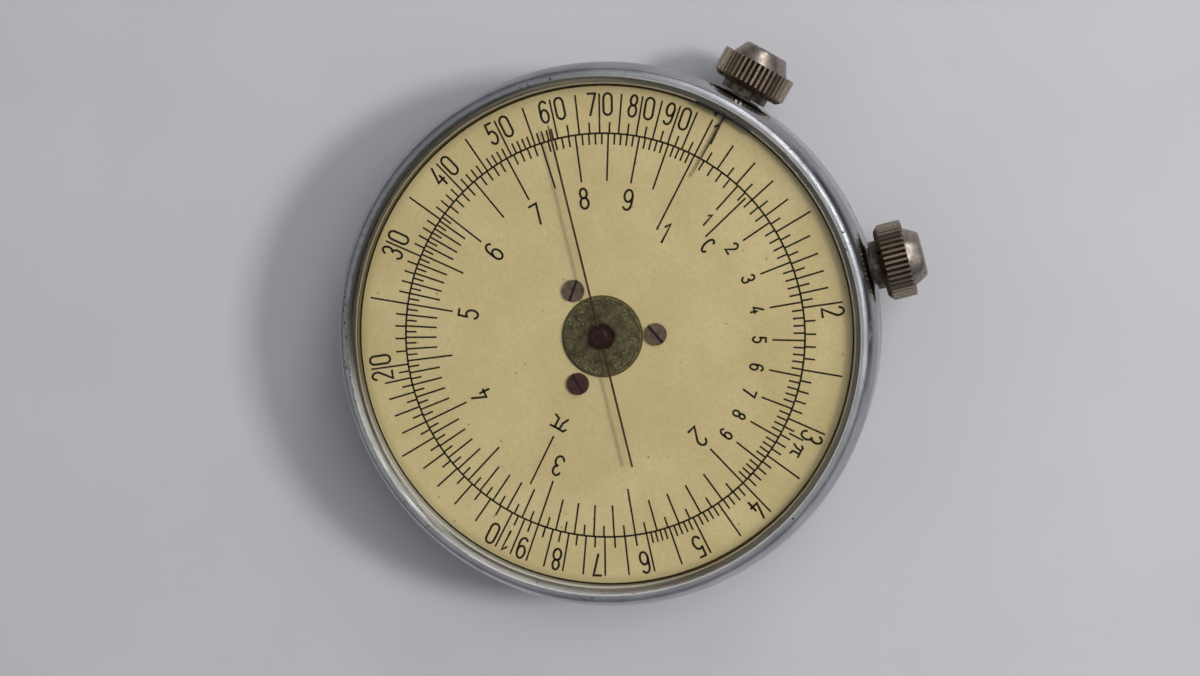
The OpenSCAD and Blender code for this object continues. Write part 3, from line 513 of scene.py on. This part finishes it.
mid = add(scale, "ShaderNodeMath", {0: reach, 1: 0.5, 2: given["Base"]}, operation="MULTIPLY_ADD")
cosine = add(scale, "ShaderNodeMath", {0: turn}, operation="COSINE")
sine = add(scale, "ShaderNodeMath", {0: turn}, operation="SINE")
x = add(scale, "ShaderNodeMath", {0: mid, 1: cosine}, operation="MULTIPLY")
y = add(scale, "ShaderNodeMath", {0: mid, 1: sine}, operation="MULTIPLY")
place = add(scale, "ShaderNodeCombineXYZ", {"X": x, "Y": y, "Z": given["Floor"]})
points = add(scale, "GeometryNodePoints", {"Count": given["Count"], "Position": place})
facing = add(scale, "ShaderNodeCombineXYZ", {"Z": turn})
size = add(scale, "ShaderNodeCombineXYZ", {"X": reach, "Y": given["Width"], "Z": given["Height"]})
size = add(scale, "ShaderNodeVectorMath", {0: size}, operation="ABSOLUTE")
bar = add(scale, "GeometryNodeMeshCube", {"Size": (1, 1, 1)})
bars = add(scale, "GeometryNodeInstanceOnPoints", {
    "Points": points, "Instance": bar, "Rotation": facing, "Scale": size,
})
bars = add(scale, "GeometryNodeRealizeInstances", {0: bars})
bars = add(scale, "GeometryNodeSetMaterial", {"Geometry": bars, "Material": given["Paint"]})
add(scale, "NodeGroupOutput", {"Ticks": bars}, None)
sockets = {item.name: item.identifier for item in scale.interface.items_tree if item.in_out == "INPUT"}


def ticks(shape, **values):
    """Adds one run of ticks to a bmesh; lengths in millimetres, angles in degrees."""
    holder = bpy.data.objects.new("run", bpy.data.meshes.new("run"))
    bpy.context.scene.collection.objects.link(holder)
    run = holder.modifiers.new("ticks", "NODES")
    run.node_group = scale
    for label, value in values.items():
        if isinstance(value, float):
            value = math.radians(value) if label in turns else value
            value = value * MM if label in lengths else value
        run[sockets[label.replace("_", " ")]] = value
    run[sockets["Paint"]] = ink
    made = bpy.data.meshes.new_from_object(holder.evaluated_get(bpy.context.evaluated_depsgraph_get()))
    shape.from_mesh(made)
    bpy.data.objects.remove(holder)


# Figures are single rounded strokes, as an engraving pantograph leaves them, in a box one wide and
# one high. A list of strokes makes a figure, and a closed stroke ends where it starts.
FIGURES = {
    "0": [arc(0.5, 0.77, 0.5, 0.23, 0, 180) + arc(0.5, 0.23, 0.5, 0.23, 180, 360) + [(1, 0.77)]],
    "1": [[(0.15, 0.76), (0.62, 1), (0.62, 0)]],
    "2": [arc(0.5, 0.74, 0.5, 0.26, 165, -25, 12) + [(0, 0), (1, 0)]],
    "3": [arc(0.48, 0.75, 0.47, 0.25, 160, -80, 12) + arc(0.46, 0.27, 0.52, 0.27, 75, -160, 12)],
    "4": [[(0.62, 1), (0, 0.28), (1, 0.28)], [(0.74, 0.5), (0.74, 0)]],
    "5": [[(0.92, 1), (0.16, 1), (0.1, 0.56)] + arc(0.47, 0.31, 0.52, 0.31, 128, -150, 12)],
    "6": [arc(0.52, 0.7, 0.52, 0.3, 40, 180, 8) + [(0, 0.3)], arc(0.5, 0.3, 0.5, 0.3, 0, 360, 16)],
    "7": [[(0, 1), (1, 1), (0.36, 0)]],
    "8": [arc(0.5, 0.76, 0.42, 0.24, 0, 360, 16), arc(0.5, 0.27, 0.5, 0.27, 0, 360, 16)],
    "C": [arc(0.56, 0.5, 0.52, 0.5, 45, 315, 14)],
    "S": [arc(0.5, 0.75, 0.46, 0.25, 30, 250, 10) + arc(0.5, 0.25, 0.5, 0.25, 80, -150, 10)],
    "T": [[(0, 1), (1, 1)], [(0.5, 1), (0.5, 0)]],
    "pi": [
        [(0, 0.72), (0.14, 0.92), (0.4, 0.88), (1, 0.88)],
        [(0.4, 0.88), (0.34, 0.4), (0.14, 0.02)],
        [(0.72, 0.88), (0.7, 0.2), (0.98, 0.06)],
    ],
}
FIGURES["9"] = [[(1 - x, 1 - y) for x, y in stroke] for stroke in FIGURES["6"]]


def stroke_bar(shape, line, half, put, low, high):
    """A raised bar along a line of points; put turns (x, y, z) into a place on the dial."""
    end_reach, end_width, mitre = half * 0.8, half * 0.5, 0.6
    closed = math.dist(line[0], line[-1]) < 1e-6
    line = [Vector(p) for p in (line[:-1] if closed else line)]
    wide = [half] * len(line)
    if not closed:
        first, last = (line[0] - line[1]).normalized(), (line[-1] - line[-2]).normalized()
        line = [line[0] + first * end_reach] + line + [line[-1] + last * end_reach]
        wide = [end_width] + wide + [end_width]
    rings = []
    for i, point in enumerate(line):
        before = line[i - 1] if closed or i else point
        after = line[(i + 1) % len(line)] if closed or i + 1 < len(line) else point
        into, out = (point - before), (after - point)
        into, out = into.normalized() or out.normalized(), out.normalized() or into.normalized()
        along = (into + out).normalized() or out
        side = Vector((-along.y, along.x)) * wide[i] / max(mitre, along.dot(out))
        rings.append([shape.verts.new(put(p.x, p.y, z)) for p, z in (
            (point + side, low), (point - side, low), (point - side, high), (point + side, high))])
    for i in range(len(rings) - (0 if closed else 1)):
        a, b = rings[i], rings[(i + 1) % len(rings)]
        for k in range(4):
            shape.faces.new((a[k], b[k], b[(k + 1) % 4], a[(k + 1) % 4]))
    if not closed:
        shape.faces.new(rings[0])
        shape.faces.new(rings[-1][::-1])


def figure(shape, name, turn, foot, left, wide, tall, stroke=0.22, hand=-1, low=0.0, high=0.0):
    """One figure beside the radius at turn degrees: foot is the radius of its base, left its offset."""
    t = math.radians(turn)
    out, along = Vector((math.cos(t), math.sin(t))), Vector((-math.sin(t), math.cos(t))) * hand
    put = lambda x, y, z: (*((out * y + along * x) * MM), z * MM)
    half = stroke / 2
    for line in FIGURES[name]:
        line = [(left + half + x * (wide - stroke), foot + half + y * (tall - stroke)) for x, y in line]
        stroke_bar(shape, line, half, put, low, high)


def printing(shape, name, body):
    """Closes a bmesh of paint into one piece on a dial."""
    bmesh.ops.recalc_face_normals(shape, faces=shape.faces)
    mesh = bpy.data.meshes.new(name)
    shape.to_mesh(mesh)
    shape.free()
    return placed(name, mesh, body, "dial_enamel", ink)


def ring_line(shape, r, half, low, high, steps=240):
    """A thin painted circle."""
    points = arc(0, 0, r, r, 0, 360, steps)
    stroke_bar(shape, points, half, lambda x, y, z: (x * MM, y * MM, z * MM), low, high)


# Front scales. The scale circle parts the squares, two decades a turn with their ticks outwards, from
# the plain scale, one decade a turn with its ticks inwards. Both rise clockwise from the index.
paint = bmesh.new()
index_turn, circle_r = 115.1, 19.13
low, high = dial_top - 0.01, dial_top + 0.012
bed = dict(Floor=(low + high) / 2, Height=high - low, Width=0.17, Base=circle_r, Measure=0)
ring_line(paint, circle_r, 0.09, low, high)
for half_turn in (0.0, 180.0):
    out = dict(bed, Turn=-180.0, Zero=index_turn - half_turn, Short=1.05, Medium=2.65, Long=3.74)
    ticks(paint, First=1.0, Step=0.05, Count=20, Medium_every=2, Long_every=10, **out)
    ticks(paint, First=2.0, Step=0.1, Count=40, Medium_every=99, Long_every=5, **out)
    ticks(paint, First=6.0, Step=0.25, Count=16, Medium_every=99, Long_every=2, **out)
into = dict(bed, Turn=-360.0, Zero=index_turn, Short=-1.05, Medium=-3.03)
ticks(paint, First=1.0, Step=0.02, Count=50, Medium_every=5, Long_every=50, Long=-7.8, **into)
ticks(paint, First=2.0, Step=0.05, Count=80, Medium_every=2, Long_every=10, Long=-4.46, **into)
ticks(paint, First=6.0, Step=0.1, Count=40, Medium_every=99, Long_every=5, Long=-4.46, **into)
single = dict(bed, Step=0.0, Count=1, Medium_every=99, Long_every=1, Short=0.0, Medium=0.0)
ticks(paint, First=math.pi, Turn=-180.0, Zero=index_turn, Long=1.5, **dict(single, Base=19.8))
ticks(paint, First=math.pi, Turn=-360.0, Zero=index_turn, Long=-5.16, **dict(single, Base=15.83))
gauge = math.sqrt(4 / math.pi)
ticks(paint, First=gauge, Turn=-360.0, Zero=index_turn, Long=-5.2, **dict(single, Base=18.8))
on_dial = dict(low=low, high=high)
square_foot, square_tall = 20.72, 2.24
plain_foot, plain_tall = 12.05, 2.12
tenth_foot, tenth_tall = 14.17, 1.42
for n in range(1, 10):
    spot = index_turn - 180 * math.log10(n)
    figure(paint, str(n), spot, square_foot, 0.28, 0.97, square_tall, **on_dial)
    figure(paint, str(n), spot - 180, square_foot, -1.23, 0.95, square_tall, **on_dial)
    figure(paint, "0", spot - 180, square_foot, 0.28, 1.02, square_tall, **on_dial)
    spot = index_turn - 360 * math.log10(1 + n / 10)
    figure(paint, str(n), spot, tenth_foot, -0.35, 0.72, tenth_tall, 0.2, **on_dial)
    if n > 1:
        spot = index_turn - 360 * math.log10(n)
        figure(paint, str(n), spot, plain_foot, -0.48, 1.0, plain_tall, **on_dial)
figure(paint, "1", index_turn, 10.4, 0.4, 0.95, plain_tall, **on_dial)
figure(paint, "pi", index_turn - 180 * math.log10(math.pi), 20.57, 0.42, 1.3, 1.2, 0.2, **on_dial)
figure(paint, "pi", index_turn - 360 * math.log10(math.pi), 8.5, -0.9, 1.75, 1.6, **on_dial)
figure(paint, "C", index_turn - 360 * math.log10(gauge), 12.33, 0.3, 0.85, 1.7, **on_dial)
printing(paint, "front_dial_print", "dial")


# Rear scales. The hidden side of this kind of rule has a fixed counting scale and the sines and
# tangents inside it; they are drawn as on such rules, rising clockwise from a zero at +Y.
paint = bmesh.new()
high, low = top - dial_top + 0.01, top - dial_top - 0.012
bed = dict(Floor=(low + high) / 2, Height=high - low, Width=0.15, Measure=0)
bed.update(Turn=360.0, Zero=90.0, Medium_every=99)
on_dial = dict(low=low, high=high, hand=1)
count_r, sine_r, tangent_r = 19.6, 14.6, 10.2
for r in (count_r, sine_r, tangent_r):
    ring_line(paint, r, 0.07, low, high)
out = dict(bed, Base=count_r, Short=1.0, Medium=1.6, Long=2.0)
ticks(paint, First=1.0, Step=0.02, Count=50, Long_every=5, **out)
ticks(paint, First=2.0, Step=0.05, Count=60, Long_every=10, **out)
ticks(paint, First=5.0, Step=0.1, Count=50, Long_every=5, **out)
sines = dict(bed, Base=sine_r, Short=1.0, Medium=1.4, Long=1.7, Measure=1, Zero=450.0)
ticks(paint, First=6.0, Step=0.25, Count=56, Long_every=4, **sines)
ticks(paint, First=20.0, Step=1.0, Count=40, Long_every=5, **sines)
ticks(paint, First=60.0, Step=10.0, Count=4, Long_every=1, **sines)
tangents = dict(bed, Base=tangent_r, Short=0.8, Medium=1.2, Long=1.5, Measure=2, Zero=450.0)
ticks(paint, First=6.0, Step=0.5, Count=28, Long_every=2, **tangents)
ticks(paint, First=20.0, Step=1.0, Count=26, Long_every=5, **tangents)
for n in range(1, 10):
    figure(paint, str(n), 90 + 360 * math.log10(n), 17.0, -0.5, 1.0, 2.1, **on_dial)
for r, measure, marks in (
    (12.5, math.sin, (8, 10, 15, 20, 30, 40, 60, 90)), (8.4, math.tan, (8, 10, 15, 20, 30, 45)),
):
    for mark in marks:
        spot = 450 + 360 * math.log10(measure(math.radians(mark)))
        for i, name in enumerate(str(mark)):
            left = (i - len(str(mark)) / 2) * 0.8 + 0.06
            figure(paint, name, spot, r, left, 0.68, 1.4, 0.15, **on_dial)
figure(paint, "S", 82.0, 12.4, -0.5, 1.0, 1.7, **on_dial)
figure(paint, "T", 80.0, 8.3, -0.5, 1.0, 1.6, **on_dial)
printing(paint, "rear_dial_print", "case")


# Dial screws. Three slotted steel screws hold the dial on its hub. Two have gone grey-brown and the
# lower-left one is rusted to maroon.
oxide, tree, skin, mm = surface("oxidised_steel", Metallic=0.3)
grain = add(tree, "ShaderNodeTexNoise", {
    "Vector": mm["Place"], "Scale": 2.4, "Detail": 5.0, "Roughness": 0.65,
})
tone = add(tree, "ShaderNodeMapRange", {0: grain, 1: 0.3, 2: 0.7})
grey = add(tree, "ShaderNodeMix", {
    0: tone, 6: srgb("#3E2E24"), 7: srgb("#6C5848"),
}, 2, data_type="RGBA")
rust = add(tree, "ShaderNodeMix", {
    0: tone, 6: srgb("#260F0D"), 7: srgb("#48221B"),
}, 2, data_type="RGBA")
screw_circle, screw_reach = 5.1, 1.6
third = around(index_turn + 180, screw_circle, dial_top)
away = add(tree, "ShaderNodeVectorMath", {0: mm["Place"], 1: third}, "Value", operation="DISTANCE")
here = add(tree, "ShaderNodeMath", {0: away, 1: screw_reach}, operation="LESS_THAN")
shade = add(tree, "ShaderNodeMix", {0: here, 6: grey, 7: rust}, 2, data_type="RGBA")
head_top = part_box("dial_screws")[1].z / MM
# Painted shade: the slots darken to near black with depth, less where rust clogs the third screw's slot.
slot = add(tree, "ShaderNodeMapRange", {0: mm["Height"], 1: head_top - 0.02, 2: head_top - 0.1})
clogged = add(tree, "ShaderNodeMath", {0: here, 1: -0.7, 2: 1.0}, operation="MULTIPLY_ADD")
slot = add(tree, "ShaderNodeMath", {0: slot, 1: clogged}, operation="MULTIPLY")
shade = add(tree, "ShaderNodeMix", {0: slot, 6: shade, 7: srgb("#1A140E")}, 2, data_type="RGBA")
tree.links.new(shade, skin.inputs["Base Color"])
dull = add(tree, "ShaderNodeMapRange", {0: grain, 3: 0.7, 4: 0.45})
tree.links.new(dull, skin.inputs["Roughness"])
bump = add(tree, "ShaderNodeBump", {"Height": grain, "Strength": 0.3, "Distance": 0.05 * MM})
tree.links.new(bump, skin.inputs["Normal"])
dressed("dial_screws", oxide)


# Retaining disc. Turned brass, bare of plating, now dark olive with verdigris: brown on one side, green
# on the other, with pale specks of salt and a thin rim that is rubbed to yellow in places. The face
# of the dial's hub, which shows as a ring round it, is as dark; its outer part is a flat olive, dirt
# and painted shade.
patina, tree, skin, mm = surface("verdigris_brass", Metallic=0.4)
mottle = add(tree, "ShaderNodeTexNoise", {
    "Vector": mm["Place"], "Scale": 1.6, "Detail": 6.0, "Roughness": 0.65,
})
tone = add(tree, "ShaderNodeMapRange", {0: mottle, 1: 0.35, 2: 0.65})
brown = add(tree, "ShaderNodeMix", {
    0: tone, 6: srgb("#332C19"), 7: srgb("#59502F"),
}, 2, data_type="RGBA")
green = add(tree, "ShaderNodeMix", {
    0: tone, 6: srgb("#37321B"), 7: srgb("#5B5434"),
}, 2, data_type="RGBA")
side = add(tree, "ShaderNodeVectorMath", {
    0: mm["Place"], 1: (0.09, 0.08, 0),
}, "Value", operation="DOT_PRODUCT")
side = add(tree, "ShaderNodeMath", {0: mottle, 1: side}, operation="ADD")
side = add(tree, "ShaderNodeMapRange", {0: side, 1: 0.3, 2: 0.7})
shade = add(tree, "ShaderNodeMix", {0: side, 6: brown, 7: green}, 2, data_type="RGBA")
disc_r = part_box("dial_retainer")[1].x / MM
salt = add(tree, "ShaderNodeTexNoise", {"Vector": mm["Place"], "Scale": 5.0, "Detail": 2.0})
rim = add(tree, "ShaderNodeMapRange", {0: mm["Radius"], 1: disc_r - 1.35, 2: disc_r})
salt = add(tree, "ShaderNodeMath", {0: rim, 1: 0.07, 2: salt}, operation="MULTIPLY_ADD")
salt = add(tree, "ShaderNodeMapRange", {0: salt, 1: 0.66, 2: 0.72, 4: 0.7})
shade = add(tree, "ShaderNodeMix", {0: salt, 6: shade, 7: srgb("#8C8F66")}, 2, data_type="RGBA")
rim = add(tree, "ShaderNodeMapRange", {0: mm["Radius"], 1: disc_r + 0.01, 2: disc_r + 0.11})
rim = add(tree, "ShaderNodeMath", {0: rim, 1: tone}, operation="MULTIPLY")
shade = add(tree, "ShaderNodeMix", {0: rim, 6: shade, 7: srgb("#83773F")}, 2, data_type="RGBA")
# Dirt and painted shade: the hub's face beyond the rim is a flat dark olive.
hub_ring_dirt_and_shade = add(tree, "ShaderNodeMapRange", {0: mm["Radius"], 1: disc_r + 0.13, 2: disc_r + 0.19})
shade = add(tree, "ShaderNodeMix", {0: hub_ring_dirt_and_shade, 6: shade, 7: srgb("#554B2E")}, 2, data_type="RGBA")
tree.links.new(shade, skin.inputs["Base Color"])
dull = add(tree, "ShaderNodeMapRange", {0: mottle, 3: 0.75, 4: 0.5})
tree.links.new(dull, skin.inputs["Roughness"])
bump = add(tree, "ShaderNodeBump", {"Height": mottle, "Strength": 0.4, "Distance": 0.06 * MM})
tree.links.new(bump, skin.inputs["Normal"])
dressed("dial_retainer", patina)
dressed("dial_hub", patina)


# Hands and pointer. Drawn steel wire and a stamped needle, dipped in dark red-brown lacquer; the
# turned hubs are domed and have a deeper red. The lacquer has worn off the needle's tip, and its foot
# is nearly black.
lacquers = {}
for name, dark, light, gloss in (
    ("red_brown_lacquer", "#261307", "#48290F", 0.6),
    ("maroon_lacquer", "#130307", "#2A0810", 0.22),
    ("brown_lacquer", "#20150D", "#43301F", 0.55),
):
    lacquers[name], tree, skin, mm = surface(name, Roughness=gloss, Specular_IOR_Level=0.25)
    wear = add(tree, "ShaderNodeTexNoise", {"Vector": mm["Place"], "Scale": 1.8, "Detail": 4.0})
    tone = add(tree, "ShaderNodeMapRange", {0: wear, 1: 0.35, 2: 0.7})
    shade = add(tree, "ShaderNodeMix", {
        0: tone, 6: srgb(dark), 7: srgb(light),
    }, 2, data_type="RGBA")
    if name == "brown_lacquer":
        bare = add(tree, "ShaderNodeMapRange", {0: mm["Radius"], 1: circle_r + 0.47, 2: circle_r - 1.33})
        shade = add(tree, "ShaderNodeMix", {
            0: bare, 6: shade, 7: srgb("#7E6D4A"),
        }, 2, data_type="RGBA")
        foot = add(tree, "ShaderNodeMapRange", {0: mm["Radius"], 1: ring_r - 0.75, 2: ring_r - 0.25})
        shade = add(tree, "ShaderNodeMix", {
            0: foot, 6: shade, 7: srgb("#110D09"),
        }, 2, data_type="RGBA")
    tree.links.new(shade, skin.inputs["Base Color"])
    bump = add(tree, "ShaderNodeBump", {"Height": wear, "Strength": 0.5, "Distance": 0.25 * MM})
    tree.links.new(bump, skin.inputs["Normal"])
dressed("front_hand", lacquers["red_brown_lacquer"])
dressed("rear_hand", lacquers["red_brown_lacquer"])
dressed("index_pointer", lacquers["brown_lacquer"])
hub_low, hub_top = (corner.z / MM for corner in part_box("front_hand_hub"))
hub = [(0, hub_top), (0.3, hub_top - 0.01)] + arc(0.6, hub_top - 0.35, 0.36, 0.32, 85, 12, 6)
hub += [(1.19, hub_low + 0.02), (0, hub_low + 0.02)]
for node, profile in (("front_hand_hub", hub), ("rear_hand_hub", [(r, top - z) for r, z in hub])):
    placed(node + "_skin", lathe(profile, 48), "hands", "hub_lacquer", lacquers["maroon_lacquer"], node)


# Knobs. Nickel-plated brass, knurled straight on the rim, with a plain collar towards the case. The
# plate is worn on the ribs and dry brown grime fills the grooves, with dark crusts. Painted shade
# darkens the grooves' open outer ends, the rim's inner end and the collar. So each vertex keeps its
# depth below the ribs and its distance from the rim's outer end.
knurl, tree, skin, mm = surface("knurled_nickel_plate", Metallic=1.0)
depth = add(tree, "ShaderNodeAttribute", out="Fac", attribute_name="groove")
grain = add(tree, "ShaderNodeTexNoise", {"Vector": mm["Place"], "Scale": 2.0, "Detail": 4.0})
tone = add(tree, "ShaderNodeMapRange", {0: grain, 1: 0.3, 2: 0.7, 3: -0.2, 4: 0.25})
depth = add(tree, "ShaderNodeMapRange", {0: depth, 1: 0.4, 2: 1.0})
grime_and_shade = add(tree, "ShaderNodeMath", {0: depth, 1: tone}, operation="ADD", use_clamp=True)
reach = add(tree, "ShaderNodeAttribute", out="Fac", attribute_name="reach")
# Painted shade: the open outer ends of the grooves, the rim's inner end and the collar are dark.
open_end_shade_and_crust = add(tree, "ShaderNodeMapRange", {0: reach, 1: 0.9, 2: 0.4})
inner_end_shade = add(tree, "ShaderNodeMapRange", {0: reach, 1: 2.1, 2: 2.4, 4: 0.6})
grime_and_shade = add(tree, "ShaderNodeMath", {0: grime_and_shade, 1: inner_end_shade}, operation="ADD", use_clamp=True)
crust = add(tree, "ShaderNodeMapRange", {0: grain, 1: 0.56, 2: 0.66})
open_end_shade_and_crust = add(tree, "ShaderNodeMath", {0: open_end_shade_and_crust, 1: crust}, operation="MAXIMUM")
filling_and_shade = add(tree, "ShaderNodeMix", {
    0: open_end_shade_and_crust, 6: srgb("#716349"), 7: srgb("#140F0A"),
}, 2, data_type="RGBA")
shade = add(tree, "ShaderNodeMix", {
    0: grime_and_shade, 6: srgb("#A09180"), 7: filling_and_shade,
}, 2, data_type="RGBA")
tree.links.new(shade, skin.inputs["Base Color"])
dull = add(tree, "ShaderNodeMapRange", {0: grime_and_shade, 3: 0.26, 4: 0.55})
tree.links.new(dull, skin.inputs["Roughness"])
knob_ends = {}
rib_r, groove_deep, rim_r, collar_shade = 3.63, 0.26, 3.2, 0.78
for node, az in knob_turns.items():
    knob = dressed(node, knurl, 20)
    axis = around(az, 1.0)
    knob_ends[node] = max(vertex.co.dot(axis) for vertex in knob.data.vertices)
    groove = knob.data.attributes.new("groove", "FLOAT", "POINT")
    reach = knob.data.attributes.new("reach", "FLOAT", "POINT")
    for i, vertex in enumerate(knob.data.vertices):
        arm = vertex.co / MM - Vector((0, 0, middle))
        along = arm.dot(axis)
        arm -= axis * along
        on_rim = arm.length > rim_r
        below = min(1.0, max(0.0, (rib_r - arm.length) / groove_deep))
        groove.data[i].value = below if on_rim else collar_shade
        reach.data[i].value = knob_ends[node] / MM - along if on_rim else 0.0


# Knob caps. Turned nickel-plated cones, screwed on the stem's end, satin from the lathe. The dimple
# in the end is filled with enamel: black on the dial's knob and red on the hands' knob.
satin, tree, skin, mm = surface("satin_nickel_plate", Metallic=1.0)
grain = add(tree, "ShaderNodeTexNoise", {"Vector": mm["Place"], "Scale": 3.0, "Detail": 5.0})
tone = add(tree, "ShaderNodeMapRange", {0: grain, 1: 0.3, 2: 0.7})
shade = add(tree, "ShaderNodeMix", {
    0: tone, 6: srgb("#877D73"), 7: srgb("#B0A59A"),
}, 2, data_type="RGBA")
tree.links.new(shade, skin.inputs["Base Color"])
dull = add(tree, "ShaderNodeMapRange", {0: grain, 3: 0.44, 4: 0.3})
tree.links.new(dull, skin.inputs["Roughness"])
cap_r, cap_len, cap_round, dimple_r = 2.795, 1.399, 0.45, 0.7
slope = math.degrees(math.atan(0.75 / 1.4))
cone = [(0, 0), (cap_r, 0), (cap_r, 0.04)]
cone += arc(1.78, cap_len - cap_round, cap_round, cap_round, slope, 90, 8)
cone += [(1.2, cap_len), (dimple_r + 0.08, cap_len), (dimple_r + 0.02, 1.38)]
cone += [(dimple_r, 1.34), (dimple_r, 1.25), (0, 1.25)]
drop_of_paint = [(0, 1.26), (0.69, 1.26), (0.69, 1.3), (0.62, 1.34), (0.4, 1.365), (0, 1.375)]
for node, paint_name, dark, light in (
    ("dial_knob", "black_enamel", "#12100F", "#2A2623"),
    ("hands_knob", "red_enamel", "#7A1713", "#9A2A22"),
):
    swing = Matrix.Rotation(math.radians(knob_turns[node]), 4, "Z")
    swing = swing @ Matrix.Rotation(math.radians(90), 4, "Y")
    seat = Matrix.Translation((0, 0, middle * MM)) @ swing @ Matrix.Translation((0, 0, knob_ends[node]))
    cap = lathe(cone, 96)
    cap.transform(seat)
    placed(node + "_cap_skin", cap, node + "_set", "nickel", satin, node + "_cap")
    enamel_dot, tree, skin, mm = surface(paint_name, Roughness=0.3, Coat_Weight=0.4)
    grain = add(tree, "ShaderNodeTexNoise", {"Vector": mm["Place"], "Scale": 3.0})
    shade = add(tree, "ShaderNodeMix", {0: grain, 6: srgb(dark), 7: srgb(light)}, 2, data_type="RGBA")
    tree.links.new(shade, skin.inputs["Base Color"])
    dot = lathe(drop_of_paint, 32)
    dot.transform(seat)
    placed(node + "_dot", dot, node + "_set", "hand_lacquer", enamel_dot)


# Floor, light and camera. A pale floor, a key from the right of the picture that casts the shadows and
# is kept out of reflections, broader lights and a fill, under a sky that darkens to the horizon, so
# that the chrome has something to show. The camera stands where the photograph was taken from.
stone, tree, skin, mm = surface("pale_floor", Roughness=0.8)
grain = add(tree, "ShaderNodeTexNoise", {"Vector": mm["Place"], "Scale": 0.05, "Detail": 4.0})
shade = add(tree, "ShaderNodeMix", {
    0: grain, 6: srgb("#A9A8AC"), 7: srgb("#B4B3B6"),
}, 2, data_type="RGBA")
tree.links.new(shade, skin.inputs["Base Color"])
bpy.ops.mesh.primitive_plane_add(size=1.5, location=(0, 0, -0.05 * MM))
floor = bpy.context.object
floor.name = "floor"
floor.data.materials.append(stone)

scene = bpy.context.scene
scene.world = bpy.data.worlds.new("studio")
scene.world.use_nodes = True
tree = scene.world.node_tree
sky = tree.nodes["Background"]
sky.inputs["Color"].default_value = srgb("#DDE0E6")
aim = add(tree, "ShaderNodeTexCoord", out="Generated")
lift = add(tree, "ShaderNodeSeparateXYZ", {0: aim}, "Z")
glow = add(tree, "ShaderNodeMapRange", {
    0: lift, 1: 0.0, 2: 0.7, 3: 0.1, 4: 0.42,
}, interpolation_type="SMOOTHSTEP")
tree.links.new(glow, sky.inputs["Strength"])
for name, az, el, away, size, watts in (
    ("key", 58, 47, 0.6, 0.09, 2.25),
    ("side", 46, 38, 0.6, 0.3, 0.18),
    ("softbox", 86, 63, 0.6, 0.24, 1.0),
    ("window", 114, 35, 0.6, 0.16, 0.6),
    ("fill", 230, 50, 0.7, 0.5, 0.3),
):
    lamp = bpy.data.objects.new(name, bpy.data.lights.new(name, "AREA"))
    scene.collection.objects.link(lamp)
    lamp.data.size = size
    lamp.data.energy = watts
    lamp.visible_glossy = name != "key"
    toward = around(az, math.cos(math.radians(el)), math.sin(math.radians(el)))
    lamp.location = toward * away
    lamp.rotation_euler = toward.to_track_quat("Z", "Y").to_euler()

tilt, az, roll = math.radians(10.34), 74.8, 142.23
distance, focal_px, picture_px = 199.59, 2110, 1200
toward = around(az, math.sin(tilt), math.cos(tilt))
target = Vector((-0.01, -0.27, dial_top)) * MM
right = (-toward).cross(around(roll, 1.0)).normalized()
upward = right.cross(-toward)
camera = bpy.data.objects.new("camera", bpy.data.cameras.new("camera"))
scene.collection.objects.link(camera)
camera.data.sensor_width = 36
camera.data.lens = camera.data.sensor_width * focal_px / picture_px
camera.data.clip_start = 0.01
facing = Matrix((right, upward, toward)).transposed().to_4x4()
camera.matrix_world = Matrix.Translation(target + distance * MM * toward) @ facing
scene.camera = camera
scene.view_settings.view_transform = "Standard"
